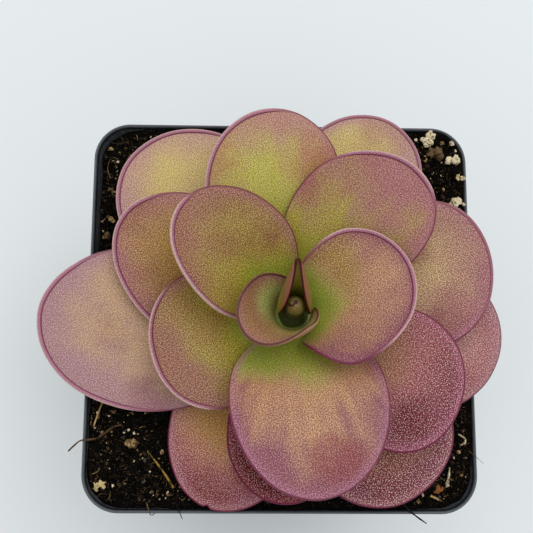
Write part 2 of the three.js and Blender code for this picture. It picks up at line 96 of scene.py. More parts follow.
class Hue(Enum):
    """The colours of the plant, its mix and its pot, as display values."""

    CITRON = (182, 172, 70)
    LIME = (171, 160, 42)
    SPRING = (156, 154, 39)
    GOLD = (161, 128, 55)
    AMBER = (177, 135, 62)
    STRAW = (205, 183, 103)
    SAND = (197, 162, 114)
    APRICOT = (192, 146, 106)
    HONEY = (164, 119, 83)
    COPPER = (162, 92, 40)
    UMBER = (126, 70, 18)
    MAHOGANY = (113, 42, 22)
    RUST = (153, 101, 78)
    PEACH = (173, 124, 107)
    BLUSH = (182, 138, 129)
    LILAC = (169, 127, 131)
    ROSE = (162, 102, 103)
    BRICK = (152, 83, 81)
    MAUVE = (141, 79, 92)
    MULBERRY = (127, 67, 79)
    GARNET = (140, 58, 64)
    WINE = (110, 33, 48)
    OXBLOOD = (100, 21, 18)
    # A dark green that is painted shade in the well round the bud: the crown's top and, with the bud's
    # own green, the bud's lower part.
    PAINTED_SHADE_GREEN = (62, 72, 22)
    CREAM = (214, 194, 160)
    # Pale gland colour; on the leaves it is also the colour of the painted highlights on the brightest
    # glands.
    GLAND = (244, 222, 216)
    PEAT = (5, 4, 3)
    HUMUS = (62, 50, 40)
    BARK = (118, 92, 62)
    CHIP = (184, 152, 98)
    FLAKE = (214, 192, 136)
    RESIN = (150, 92, 44)
    PERLITE = (232, 216, 178)
    PLASTIC = (17, 19, 22)
    # Grey of the rim's scuffs, also used as a painted sheen on the lip and down the slope inside it.
    SCUFF_AND_SHEEN_GREY = (76, 81, 88)
    DUST = (84, 78, 70)
    ROOT = (88, 66, 40)
    HAIR_LINE = (104, 22, 62)
    CLARET = (66, 6, 18)
    ORCHID = (170, 108, 134)
    OLIVE = (132, 116, 60)
    SPROUT = (180, 190, 112)
    FRESH = (148, 160, 52)
    GRASS = (138, 150, 34)

    @property
    def rgba(self) -> tuple[float, float, float, float]:
        """The colour as linear light with full alpha."""
        red, green, blue = (linear(channel) for channel in self.value)
        return red, green, blue, 1.0


# ---------- numbers
def lerp(low: Numbers, high: Numbers, share: Numbers) -> Numbers:
    """Goes from low to high as share goes from 0 to 1."""
    return low + (high - low) * share


def s_curve(share: Numbers) -> Numbers:
    """Bends a share between 0 and 1 into an S: 3 s^2 - 2 s^3."""
    return share * share * (3 - 2 * share)


def ease(value: Numbers, start: float, end: float) -> Numbers:
    """Rises from 0 at start to 1 at end in an S."""
    return s_curve(np.clip((value - start) / (end - start), 0, 1))


def hump(value: Numbers, start: float, full: float, fading: float, gone: float) -> Numbers:
    """Rises from 0 at start to 1 at full, and falls from fading to 0 at gone."""
    return ease(value, start, full) * (1 - ease(value, fading, gone))


def bell(value: Numbers, middle: float, width: float) -> Numbers:
    """A bell curve of height 1: exp of minus the squared distance from middle over width."""
    return np.exp(-(((value - middle) / width) ** 2))


def abreast(*parts: Numbers) -> np.ndarray:
    """Sets arrays or plain numbers side by side, each at its own index of a new last axis."""
    return np.stack(np.broadcast_arrays(*parts), axis=-1)


def once_round(count: int) -> np.ndarray:
    """Returns angles in radians, evenly spaced once round."""
    return np.linspace(0, 2 * np.pi, count, endpoint=False)


def unit(vectors: np.ndarray) -> np.ndarray:
    """Returns the vectors, which lie along the last axis, at length 1."""
    return vectors / np.maximum(np.linalg.norm(vectors, axis=-1, keepdims=True), 1e-9)


def lattice_value(index: np.ndarray, seed: int) -> np.ndarray:
    """Gives each whole-numbered lattice corner a repeatable value.

    Args:
        index: Whole numbers, with the three coordinates on the last axis.
        seed: Chooses one of many such fields.

    Returns:
        A value between -1 and 1 for each corner.
    """
    mixed = index[..., 0] * 73856093 ^ index[..., 1] * 19349663 ^ index[..., 2] * 83492791
    mixed = mixed ^ (seed * 97531 + 12345)
    mixed = (mixed ^ (mixed >> 13)) * 1274126177 & 0x7FFFFFFF
    mixed = (mixed ^ (mixed >> 16)) & 0xFFFF
    return mixed / 32767.5 - 1


def soft_noise(points: np.ndarray, cell: float, seed: int) -> np.ndarray:
    """Smooth noise: a random value at each corner of a cubic lattice, eased between corners.

    Args:
        points: Places, with x, y and z on the last axis.
        cell: The lattice's spacing, in the same unit.
        seed: Chooses one of many such fields.

    Returns:
        A value between -1 and 1 for each place.
    """
    scaled = points / cell
    base = np.floor(scaled).astype(np.int64)
    part = s_curve(scaled - base)
    total = np.zeros(points.shape[:-1])
    for corner in itertools.product((0, 1), repeat=3):
        weight = np.prod(np.where(np.array(corner) == 1, part, 1 - part), axis=-1)
        total += weight * lattice_value(base + np.array(corner), seed)
    return total


def layered_noise(points: np.ndarray, cell: float, seed: int, layers: int = 3) -> np.ndarray:
    """Adds layers of soft_noise, each half the size and half the height of the one before.

    Args:
        points: Places, with x, y and z on the last axis.
        cell: The first layer's spacing, in the same unit.
        seed: Chooses one of many such fields.
        layers: How many layers there are.

    Returns:
        A value between about -2 and 2 for each place.
    """
    total = np.zeros(points.shape[:-1])
    for layer in range(layers):
        total += soft_noise(points, cell / 2**layer, seed + layer) / 2**layer
    return total


# ---------- surfaces
@dataclass
class Patch:
    """A surface or several: points, quads and triangles, and named values at the points."""

    points: np.ndarray
    quads: np.ndarray = field(default_factory=lambda: np.zeros((0, 4), np.int64))
    triangles: np.ndarray = field(default_factory=lambda: np.zeros((0, 3), np.int64))
    values: dict[str, np.ndarray] = field(default_factory=dict)


def joined(patches: list[Patch]) -> Patch:
    """Puts several surfaces into one.

    Args:
        patches: The surfaces.

    Returns:
        Their points and faces in order. Values that only some of them hold are 0 on the rest.
    """
    starts = np.cumsum([0] + [len(patch.points) for patch in patches])
    values = {}
    for name in sorted({name for patch in patches for name in patch.values}):
        parts = [patch.values.get(name, np.zeros(len(patch.points))) for patch in patches]
        values[name] = np.concatenate(parts)
    return Patch(
        np.concatenate([patch.points for patch in patches]),
        np.concatenate([patch.quads + start for patch, start in zip(patches, starts)]),
        np.concatenate([patch.triangles + start for patch, start in zip(patches, starts)]),
        values,
    )


def grid_quads(rows: int, columns: int, round_trip: bool) -> np.ndarray:
    """Joins a grid of points, numbered row by row, into quads.

    Args:
        rows: The number of rows.
        columns: The number of points in each.
        round_trip: Whether the last column joins the first.

    Returns:
        Four point numbers for each quad, anticlockwise for rows that rise as columns go
        anticlockwise.
    """
    last = columns if round_trip else columns - 1
    row, column = np.meshgrid(np.arange(rows - 1), np.arange(last), indexing="ij")
    after = (column + 1) % columns
    here, above = row * columns, (row + 1) * columns
    return abreast(here + column, here + after, above + after, above + column).reshape(-1, 4)


def lathe_like(rings: np.ndarray) -> Patch:
    """Closes a stack of rings, first to last, into one shell with a fan at each end.

    Args:
        rings: Rows of points that go anticlockwise round +Z, from the lower outside end.

    Returns:
        The shell, whose end rings are each closed to their own middle.
    """
    rows, columns = rings.shape[:2]
    points = np.concatenate([rings.reshape(-1, 3), rings[[0, -1]].mean(axis=1)])
    column = np.arange(columns)
    after = (column + 1) % columns
    first, top = rows * columns, (rows - 1) * columns
    fans = [abreast(first, after, column), abreast(first + 1, top + column, top + after)]
    return Patch(points, grid_quads(rows, columns, True), np.concatenate(fans))


def write_mesh(name: str, patch: Patch, smooth: bool = True) -> bpy.types.Object:
    """Puts a surface into a new object at the origin, in metres.

    Args:
        name: The object's and the mesh's name.
        patch: The surface, in millimetres. The values u and v become a UV map, and every
            other value an attribute of its own.
        smooth: Whether the faces are shaded smooth.

    Returns:
        The new object, linked to the scene.
    """
    mesh = bpy.data.meshes.new(name)
    mesh.vertices.add(len(patch.points))
    mesh.vertices.foreach_set("co", (patch.points / METRE).astype(np.float32).ravel())
    corners = np.concatenate([patch.quads.ravel(), patch.triangles.ravel()]).astype(np.int32)
    sizes = np.concatenate([np.full(len(patch.quads), 4), np.full(len(patch.triangles), 3)])
    mesh.loops.add(len(corners))
    mesh.loops.foreach_set("vertex_index", corners)
    mesh.polygons.add(len(sizes))
    mesh.polygons.foreach_set("loop_start", (np.cumsum(sizes) - sizes).astype(np.int32))
    mesh.update(calc_edges=True)
    mesh.polygons.foreach_set("use_smooth", np.full(len(sizes), smooth))
    for key in sorted(set(patch.values) - {"u", "v"}):
        attribute = mesh.attributes.new(key, "FLOAT", "POINT")
        attribute.data.foreach_set("value", patch.values[key].astype(np.float32))
    if "u" in patch.values:
        layer = mesh.uv_layers.new(name="surface")
        flat = abreast(patch.values["u"][corners], patch.values["v"][corners])
        layer.data.foreach_set("uv", flat.astype(np.float32).ravel())
    piece = bpy.data.objects.new(name, mesh)
    bpy.context.scene.collection.objects.link(piece)
    return piece


def dress(
    piece: bpy.types.Object,
    finish: bpy.types.Material,
    replaces: tuple[str, ...] = (),
) -> None:
    """Gives a piece its finish and its place in the frame, and reports it.

    Args:
        piece: The new object.
        finish: Its material.
        replaces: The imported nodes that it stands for.
    """
    piece.data.materials.append(finish)
    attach(piece, ROOT)
    if replaces:
        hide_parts(*replaces)
    LOG.info("%s: %d faces, finish %s", piece.name, len(piece.data.polygons), finish.name)


# ---------- node trees
@dataclass
class Wiring:
    """Adds nodes to one tree and joins them; a plain number or colour sets a socket."""

    tree: bpy.types.NodeTree
    placed: int = 0

    def add(self, kind: str, **settings: object) -> bpy.types.Node:
        """Adds a node.

        Args:
            kind: The node's type, such as ShaderNodeMath.
            **settings: Its own properties by name.

        Returns:
            The node, set a little further on than the one before.
        """
        node = self.tree.nodes.new(kind)
        node.location = (220 * (self.placed % 12), -280 * (self.placed // 12))
        self.placed += 1
        for name, value in settings.items():
            setattr(node, name, value)
        return node

    def feed(self, socket: Socket, value: Feed) -> None:
        """Joins or sets a socket.

        Args:
            socket: The input.
            value: Another socket to join to it, or the plain number or colour that it takes.
        """
        if isinstance(value, Socket):
            self.tree.links.new(value, socket)
        else:
            socket.default_value = value

    def sum_of(
        self, kind: str, first: Feed, second: Feed, third: Feed | None = None, clamp: bool = False
    ) -> Socket:
        """Adds a Math node.

        Args:
            kind: Its operation.
            first: Its first input.
            second: Its second input.
            third: Its third input, where the operation takes one.
            clamp: Whether its value is held between 0 and 1.

        Returns:
            Its value.
        """
        node = self.add("ShaderNodeMath", operation=kind, use_clamp=clamp)
        self.feed(node.inputs[0], first)
        self.feed(node.inputs[1], second)
        if third is not None:
            self.feed(node.inputs[2], third)
        return node.outputs[0]

    def times(self, first: Feed, second: Feed, plus: Feed | None = None, clamp: bool = False) -> Socket:
        """Returns first times second, plus a third where one is given."""
        kind = "MULTIPLY" if plus is None else "MULTIPLY_ADD"
        return self.sum_of(kind, first, second, plus, clamp)

    def blend(self, share: Feed, first: Feed, second: Feed, mode: str = "MIX") -> Socket:
        """Mixes two colours.

        Args:
            share: How much of the second there is, from 0 to 1.
            first: The colour where share is 0.
            second: The colour that is mixed in.
            mode: How it is mixed in, such as MIX or MULTIPLY.

        Returns:
            The mixed colour.
        """
        node = self.add("ShaderNodeMix", data_type="RGBA", blend_type=mode)
        self.feed(node.inputs["Factor"], share)
        self.feed(node.inputs[6], first)
        self.feed(node.inputs[7], second)
        return node.outputs[2]

    def spread(
        self, value: Feed, low: float, high: float, start: float = 0.0, end: float = 1.0
    ) -> Socket:
        """Adds a Map Range node that eases in an S.

        Args:
            value: Its input.
            low: Where its result is start.
            high: Where its result is end.
            start: The result at low.
            end: The result at high.

        Returns:
            Its result.
        """
        node = self.add("ShaderNodeMapRange", interpolation_type="SMOOTHSTEP")
        for socket, setting in zip(node.inputs, (value, low, high, start, end)):
            self.feed(socket, setting)
        return node.outputs["Result"]

    def attribute(self, name: str) -> Socket:
        """Returns the value that the mesh holds under that name."""
        return self.add("ShaderNodeAttribute", attribute_name=name).outputs["Fac"]

    def noise(
        self, where: Socket, scale: Feed, detail: float, rough: float = 0.5, **settings: object
    ) -> Socket:
        """Adds a noise texture.

        Args:
            where: The coordinates.
            scale: How many waves there are in a unit of them.
            detail: How many finer layers lie on the first.
            rough: How strong each is next to the one before.
            **settings: The node's own properties by name.

        Returns:
            Its value, about 0.5.
        """
        node = self.add("ShaderNodeTexNoise", **settings)
        self.feed(node.inputs["Vector"], where)
        self.feed(node.inputs["Scale"], scale)
        self.feed(node.inputs["Detail"], detail)
        self.feed(node.inputs["Roughness"], rough)
        return node.outputs["Fac"]


VALUE, VECTOR = "NodeSocketFloat", "NodeSocketVector"


def new_group(
    name: str, inputs: dict[str, str], outputs: tuple[str, ...]
) -> tuple[Wiring, bpy.types.NodeOutputs, bpy.types.NodeInputs]:
    """Makes an empty shader group with named sockets.

    Args:
        name: The group's name.
        inputs: The kind of socket for each input's name.
        outputs: The names of its outputs, which are all plain values.

    Returns:
        The group's wiring, the sockets that bring its inputs and those that take its outputs.
    """
    group = bpy.data.node_groups.new(name, "ShaderNodeTree")
    for socket, kind in inputs.items():
        group.interface.new_socket(socket, in_out="INPUT", socket_type=kind)
    for socket in outputs:
        group.interface.new_socket(socket, in_out="OUTPUT", socket_type=VALUE)
    source, result = group.nodes.new("NodeGroupInput"), group.nodes.new("NodeGroupOutput")
    return Wiring(group), source.outputs, result.inputs


@dataclass(frozen=True)
class SurfaceEffects:
    """The shader groups that several finishes share."""

    glands: bpy.types.NodeTree
    mottle: bpy.types.NodeTree
    grit: bpy.types.NodeTree


def gland_group() -> bpy.types.NodeTree:
    """A close carpet of glands: one layer of flat gradient noise, parted into dots and net.

    Returns:
        The group. Dot is 1 on the glands and 0 in the winding net between them, Glint is 1 on
        the few that catch the light, and Relief is their height.
    """
    inputs = {"Surface": VECTOR, "Glands": VALUE}
    wiring, given, made = new_group("gland_carpet", inputs, ("Dot", "Glint", "Relief"))
    cells = wiring.noise(given["Surface"], given["Glands"], 1.0, 0.6, noise_dimensions="2D")
    wiring.feed(made["Dot"], wiring.spread(cells, 0.38, 0.62))
    wiring.feed(made["Glint"], wiring.spread(cells, 0.6, 0.7))
    wiring.feed(made["Relief"], cells)
    return wiring.tree


def mottle_group() -> bpy.types.NodeTree:
    """Cloudy patches and finer flecks: two noises of different size.

    Returns:
        The group. Cloud and Fleck each lie between about -0.5 and 0.5.
    """
    wiring, given, made = new_group("mottle", {"Place": VECTOR, "Size": VALUE}, ("Cloud", "Fleck"))
    for name, finer, detail in (("Cloud", 1.0, 3.0), ("Fleck", 5.5, 2.0)):
        noise = wiring.noise(given["Place"], wiring.times(given["Size"], finer), detail)
        wiring.feed(made[name], wiring.sum_of("SUBTRACT", noise, 0.5))
    return wiring.tree


def grit_group() -> bpy.types.NodeTree:
    """Crumbly relief: coarse noise with sharp pits, for mix, bark and perlite.

    Returns:
        The group. Relief is a height from 0 to 1 and Pit is 1 in the hollows.
    """
    wiring, given, made = new_group("grit", {"Place": VECTOR, "Size": VALUE}, ("Relief", "Pit"))
    noise = wiring.noise(given["Place"], given["Size"], 5.0, 0.68)
    wiring.feed(made["Relief"], noise)
    wiring.feed(made["Pit"], wiring.spread(noise, 0.5, 0.4))
    return wiring.tree


@functools.cache
def surface_effects() -> SurfaceEffects:
    """Returns the shared groups, which are made at the first call."""
    return SurfaceEffects(gland_group(), mottle_group(), grit_group())


@dataclass
class MaterialBench:
    """One material on the bench: its tree, its Principled shader and the shared groups."""

    name: str

    def __post_init__(self) -> None:
        """Makes the material with a bare Principled shader."""
        self.material = bpy.data.materials.new(self.name)
        self.material.use_nodes = True
        self.shader = self.material.node_tree.nodes["Principled BSDF"]
        self.wiring = Wiring(self.material.node_tree)
        self.place = self.wiring.add("ShaderNodeTexCoord").outputs["Object"]
        self.effects = surface_effects()

    def shine(self, specular: float, roughness: float = 0.5) -> None:
        """Sets how strongly the whole surface shines and how rough it is."""
        self.shader.inputs["Specular IOR Level"].default_value = specular
        self.shader.inputs["Roughness"].default_value = roughness

    def use(self, group: bpy.types.NodeTree, **inputs: Feed) -> list[Socket]:
        """Places a shared group.

        Args:
            group: The group.
            **inputs: Its own values by the names of its sockets.

        Returns:
            Its outputs.
        """
        node = self.wiring.add("ShaderNodeGroup", node_tree=group)
        for name, value in inputs.items():
            self.wiring.feed(node.inputs[name], value)
        return list(node.outputs)

    def glands(self, count: float) -> list[Socket]:
        """Returns the gland carpet's Dot, Glint and Relief on the piece's own UV map."""
        surface = self.wiring.add("ShaderNodeUVMap", uv_map="surface").outputs["UV"]
        return self.use(self.effects.glands, Surface=surface, Glands=count)

    def mottle(self, size: float) -> list[Socket]:
        """Returns the mottle's Cloud and Fleck, with that many clouds in a metre."""
        return self.use(self.effects.mottle, Place=self.place, Size=size)

    def grit(self, size: float) -> list[Socket]:
        """Returns the grit's Relief and Pit, with that many grains in a metre."""
        return self.use(self.effects.grit, Place=self.place, Size=size)

    def colour(self, value: Feed) -> None:
        """Sets the base colour."""
        self.wiring.feed(self.shader.inputs["Base Color"], value)

    def rough(self, value: Feed) -> None:
        """Sets a roughness that varies over the surface."""
        self.wiring.feed(self.shader.inputs["Roughness"], value)

    def bump(self, height: Socket, depth: float, strength: float = 1.0) -> None:
        """Raises the surface in the shader.

        Args:
            height: The relief, from 0 to 1.
            depth: What a height of 1 comes to, in millimetres.
            strength: How much of the relief shows.
        """
        node = self.wiring.add("ShaderNodeBump")
        node.inputs["Distance"].default_value = depth / METRE
        node.inputs["Strength"].default_value = strength
        self.wiring.feed(node.inputs["Height"], height)
        self.wiring.feed(self.shader.inputs["Normal"], node.outputs["Normal"])


class Finish:
    """A finish for one kind of surface: paint says how, on the bench of a new material."""

    def paint(self, bench: MaterialBench) -> None:
        """Sets the shader up, in each finish's own way."""
        raise NotImplementedError

    def material(self, name: str) -> bpy.types.Material:
        """Makes a material with this finish.

        Args:
            name: The material's name.

        Returns:
            The finished material.
        """
        bench = MaterialBench(name)
        self.paint(bench)
        return bench.material


# ---------- leaf finish
# The UV map of a leaf spans LEAF_MAP millimetres, and glands stand GLAND_SPACING apart.
LEAF_MAP = 60.0
GLAND_SPACING = 0.215
GLANDS_ACROSS_MAP = LEAF_MAP / GLAND_SPACING
# What the net between the glands multiplies a dark red leaf's colour by: partly its own deeper red,
# partly painted shade.
RED_NET = (0.5, 0.12, 0.18)


@dataclass(frozen=True)
class LeafFinish(Finish):
    """How one leaf is coloured, from its foot to its rolled margin.

    foot, body and flush are the colours near the crown, on the open blade and toward the
    margin. deep is the colour of its patches and edge that of the rolled margin. back is the
    lower face. contrast is how far the glands stand out from the net between them; the glands
    are brightened as painted light, and the net is darkened, partly in its own colour and partly
    as painted shade. net is what the net multiplies the colour by, the glint strength how strongly
    painted highlights whiten the brightest glands and gloss how much the skin shines. line is the
    colour of the margin's crease and edge, and in the crease it is partly painted shade.
    """

    foot: Hue
    body: Hue
    flush: Hue
    deep: Hue
    edge: Hue = Hue.ORCHID
    back: Hue = Hue.SAND
    contrast: float = 1.0
    glint_highlight: float = 0.2
    net: tuple[float, float, float] = (0.2, 0.1, 0.04)
    gloss: float = 0.35
    line: Hue = Hue.HAIR_LINE

    # How far clouds break up the border of each colour, and flecks next to clouds.
    PATCHINESS = {"green": 0.3, "flush": 0.4, "deep": 0.5}
    FLECK_SHARE = 0.4
    BORDER = (0.12, 0.92)
    CALM_IN_GREEN = 0.45
    # NET_SHARE darkens the net between the glands, partly as painted shade; LIT brightens the glands as
    # painted light.
    NET_SHARE = 0.46
    LIT = (1.3, 1.34, 1.36, 1.0)
    FLUSH_BELOW = 0.7
    ROUGH_DRY, ROUGH_WET = 0.52, 0.38
    RELIEF, RELIEF_STRENGTH = 0.07, 0.75

    def paint(self, bench: MaterialBench) -> None:
        """Paints the leaf's skin.

        The mesh holds how much of each colour there is (green, flush, deep, edge, pale, line
        and back), the mottle breaks the borders up, and the gland carpet sets dots brightened by
        painted light, the brightest with painted highlights, on a net darkened partly in its own
        colour and partly by painted shade.

        Args:
            bench: The new material's bench.
        """
        bench.shine(self.gloss)
        wiring, blend, mask = bench.wiring, bench.wiring.blend, bench.wiring.attribute
        cloud, fleck = bench.mottle(190.0)
        dot, glint, relief = bench.glands(GLANDS_ACROSS_MAP)
        share = {}
        for key, patchiness in self.PATCHINESS.items():
            broken = wiring.times(cloud, patchiness, mask(key))
            flecked = wiring.times(fleck, self.FLECK_SHARE * patchiness, broken)
            share[key] = wiring.spread(flecked, *self.BORDER)
        colour = blend(share["flush"], self.body.rgba, self.flush.rgba)
        colour = blend(share["deep"], colour, self.deep.rgba)
        colour = blend(share["green"], colour, self.foot.rgba)
        colour = blend(mask("edge"), colour, self.edge.rgba)
        open_blade = wiring.sum_of("SUBTRACT", 1.0, mask("smooth"), clamp=True)
        # Painted light and shade of the gland relief: the net darker, the glands lighter, the brightest
        # whitened by painted highlights.
        depth = wiring.times(share["green"], -self.CALM_IN_GREEN * self.contrast, self.contrast)
        net = blend(wiring.times(depth, self.NET_SHARE), colour, (*self.net, 1.0), "MULTIPLY")
        lit = blend(depth, colour, self.LIT, "MULTIPLY")
        lit = blend(wiring.times(glint, self.glint_highlight), lit, Hue.GLAND.rgba)
        colour = blend(open_blade, colour, blend(dot, net, lit))
        under = blend(share["green"], self.back.rgba, self.foot.rgba)
        under = blend(wiring.times(share["flush"], self.FLUSH_BELOW), under, self.flush.rgba)
        under = blend(mask("edge"), under, self.edge.rgba)
        colour = blend(mask("back"), colour, under)
        colour = blend(mask("pale"), colour, Hue.CREAM.rgba)
        bench.colour(blend(mask("line"), colour, self.line.rgba))
        wet = wiring.times(dot, open_blade)
        bench.rough(wiring.spread(wet, 0.0, 1.0, self.ROUGH_DRY, self.ROUGH_WET))
        height = wiring.times(fleck, 0.5, wiring.times(relief, open_blade))
        bench.bump(height, self.RELIEF, self.RELIEF_STRENGTH)


# ---------- leaf shape
@dataclass(frozen=True)
class Notch:
    """A dent in a leaf's rim: where round it, in degrees from the foot, how deep and wide."""

    angle: float
    depth: float
    width: float


@dataclass(frozen=True)
class Hem:
    """Where round the rim the rolled margin stands up as a band.

    start and end are angles round the rim, in degrees from the foot's left corner over the tip
    at 180 to its right corner, and strength is 1 for a margin that is rolled fully up.
    Elsewhere the margin only turns up a little and shows as a thin line.
    """

    start: float = 0.0
    end: float = 0.0
    strength: float = 0.0

    FADE = 22.0

    def share(self, angle: np.ndarray) -> np.ndarray:
        """How far the margin is rolled up at each angle, from 0 to 1."""
        start, end, fade = self.start, self.end, self.FADE
        return self.strength * hump(angle, start - fade, start + fade, end - fade, end + fade)


@dataclass(frozen=True)
class Patchwork:
    """Where a leaf's colours lie on its blade.

    green is how far the foot's green reaches, as a share of the length. rim and tip say how
    strongly the flush gathers within veil of the margin and toward the tip, side how much more
    of it lies on the left, base how much there is everywhere. blots are darker patches: x, y,
    radius and strength. streak draws the flush out along the leaf. line is how dark the
    margin's crease and edge are and line_end where round the margin a flat one's dark edge
    stops. pale is how light a rolled margin's outer side is and fringe how far a flat margin
    takes the edge's colour.
    """

    green: float
    rim: float
    veil: float
    tip: float
    side: float
    base: float
    blots: tuple[tuple[float, float, float, float], ...] = ()
    streak: float = 0.0
    line: float = 0.85
    line_end: float = 2.4
    pale: float = 0.5
    fringe: float = 0.25


@dataclass
class Section:
    """The rows of a leaf's surface, as arrays of rows by columns.

    x and y lie on the flattened blade and lift is the height off its middle. left is the
    distance to the margin's crease, around how far round the rolled margin the row is (0 to 1
    over the top, 1 to 2 over the rounded end, 3 back at the crease below), below is 1 on the
    lower face, band how far the margin is rolled up, and u and v are the UV map.
    """

    x: np.ndarray
    y: np.ndarray
    lift: np.ndarray
    left: np.ndarray
    around: np.ndarray
    below: np.ndarray
    band: np.ndarray
    u: np.ndarray
    v: np.ndarray


@dataclass(frozen=True)
class Leaf:
    """One leaf: its shape, the lie of its colours, its finish and how dewy it is.

    azimuth turns anticlockwise from +X. length runs along the midrib and width across the
    flattened blade. fullness above 1 puts the widest place nearer the tip. The midrib leaves
    the crown at the angle rise above level and reaches the tip at the angle end. foot is the
    height where it leaves the crown's axis. bend carries the tip sideways, roll turns the blade
    about its midrib and cup is the angle through which each half of it curls up. start is how
    far from the crown's axis the midrib begins, neck how wide its foot is next to its plain
    outline, wrap the sharper curl of a sheathing foot, and furl rolls a young leaf into a hood,
    through its three angles at the foot, above it and at the tip. point narrows the tip and
    slim is its blade's thickness next to a grown leaf's.
    """

    node: str
    azimuth: float
    length: float
    width: float
    fullness: float
    rise: float
    end: float
    foot: float
    bend: float
    roll: float
    cup: float
    finish: LeafFinish
    lie: Patchwork
    start: float = 3.0
    neck: float = 0.6
    wrap: float | None = None
    furl: tuple[float, float, float] | None = None
    point: float = 0.0
    slim: float = 1.0
    hem: Hem = Hem()
    slot: str = "leaf_rose"
    notches: tuple[Notch, ...] = ()
    dew: float = 0.5

    ROLL_RADIUS = 0.65
    ROLL_LEAST = 24.0
    ROLL_MOST = 84.0
    LINE_THICKNESS = 0.5
    FOOT_THICKNESS = 1.0
    BLADE_THICKNESS = 0.85
    MARGIN_THICKNESS = 0.75
    NECK_LENGTH = 12.0
    ROOT_LENGTH = 1.2
    LEAST_FURL_WIDTH = 1.0
    COLUMNS = 208
    BLADE_ROWS = 22
    BACK_ROWS = 12
    ROLL_ROWS = 7
    END_ROWS = 8
    # Rows lie closer together toward the margin, and the margin's end bulges a little.
    ROW_CROWDING = 1.5
    END_BULGE = 0.3
    # How far back the fan's columns start, and how uneven the margin's roll and place are.
    FAN_PULL = 0.25
    UNEVEN_ROLL, UNEVEN_RIM = 0.06, 0.1
    # The relief's swells, above and next to that below, and its channel with the keel under it.
    SWELL, SWELL_SIZE, SWELL_BELOW = 0.09, 5.0, 0.6
    CHANNEL, KEEL, CHANNEL_WIDTH = 0.2, 0.18, 1.3

    @property
    def seed(self) -> int:
        """A number of its own for the leaf's noise."""
        return 7 * int(self.node[-2:])

    def neck_factor(self, x: np.ndarray) -> np.ndarray:
        """How much narrower the blade is than its plain outline, near the crown and the tip."""
        tip = 1 - self.point * ease(x / self.length, 0.45, 1.0)
        return lerp(self.neck, 1.0, ease(x, 0, self.NECK_LENGTH)) * tip

    def half_width(self, x: np.ndarray) -> np.ndarray:
        """Half the flattened width at x: W sqrt(t (1 - t)) with t = (x / L) ^ fullness."""
        t = np.clip(x / self.length, 0, 1) ** self.fullness
        return self.width * np.sqrt(t * (1 - t)) * self.neck_factor(x)

    def curl(self, x: np.ndarray) -> np.ndarray:
        """Works out how sharply the blade curls across.

        Args:
            x: Distance along the midrib.

        Returns:
            The curl there, in radians a millimetre, and never quite 0.
        """
        if self.furl:
            turned = lerp(self.furl[0], self.furl[1], ease(x, 0, 0.6 * self.length))
            turned = lerp(turned, self.furl[2], ease(x, 0.45 * self.length, self.length))
            return np.radians(turned) / np.maximum(self.half_width(x), self.LEAST_FURL_WIDTH)
        wrap = self.cup if self.wrap is None else self.wrap
        turned = np.radians(lerp(wrap, self.cup, ease(x, 0, 0.6 * self.length)))
        bent = turned / (self.width / 2)
        return np.where(np.abs(bent) < 1e-5, 1e-5, bent)

    def place(self, x: np.ndarray, y: np.ndarray, lift: np.ndarray) -> np.ndarray:
        """Carries points of the flattened blade into place.

        The midrib is an arc from the angle rise to the angle end, the section across it is an
        arc too, and the leaf is then turned to its azimuth about the crown's axis.

        Args:
            x: Distance along the midrib.
            y: Distance across, to the left of the midrib.
            lift: Height above the middle of the blade's thickness.

        Returns:
            The places, with x, y and z on the last axis.
        """
        start = math.radians(self.rise)
        turn = math.radians(self.end - self.rise) / self.length
        slope = start + turn * x
        out = self.start + (np.sin(slope) - math.sin(start)) / turn
        up = self.foot - (np.cos(slope) - math.cos(start)) / turn
        bent = self.curl(x)
        radius = 1 / bent
        across = (radius - lift) * np.sin(bent * y)
        rise = radius - (radius - lift) * np.cos(bent * y)
        rolled = math.radians(self.roll) * ease(x, 0, 0.7 * self.length)
        sway = self.bend * (x / self.length) ** 2
        side = across * np.cos(rolled) - rise * np.sin(rolled) + sway
        off = across * np.sin(rolled) + rise * np.cos(rolled)
        reach = out - np.sin(slope) * off
        azimuth = math.radians(self.azimuth)
        return abreast(
            CROWN_X + reach * math.cos(azimuth) - side * math.sin(azimuth),
            CROWN_Y + reach * math.sin(azimuth) + side * math.cos(azimuth),
            up + np.cos(slope) * off,
        )

    def rim(self) -> tuple[np.ndarray, ...]:
        """Works out the fan's columns, from the foot's left corner round the tip to its right.

        Returns:
            For each column the place on the midrib where it starts, its direction along and
            across, the length of its flat part, the angle that its margin rolls through and
            how far it is rolled up as a band.
        """
        first = math.acos(1 - 2 * (self.ROOT_LENGTH / self.length) ** self.fullness)
        angle = np.linspace(first, 2 * math.pi - first, self.COLUMNS + 1)
        x = self.length * ((1 - np.cos(angle)) / 2) ** (1 / self.fullness)
        y = self.width / 2 * np.sin(angle) * self.neck_factor(x)
        spine = x * (1 - self.FAN_PULL * (x / self.length) ** 3)
        length = np.hypot(x - spine, y)
        along, across = (x - spine) / length, y / length
        uneven = soft_noise(abreast(x, y, 0.0), self.SWELL_SIZE, self.seed)
        band = self.hem.share(np.degrees(angle)) * ease(x, 2, 12)
        rolled = np.radians(lerp(self.ROLL_LEAST, self.ROLL_MOST, band))
        rolled = rolled * (1 + self.UNEVEN_ROLL * uneven)
        outer = self.ROLL_RADIUS + self.edge_thickness(band) / 2
        flat = length - outer * np.sin(rolled) - self.UNEVEN_RIM * (1 + uneven) * ease(x, 3, 10)
        for notch in self.notches:
            flat = flat - notch.depth * bell(np.degrees(angle), notch.angle, notch.width)
        return spine, along, across, flat, rolled, band

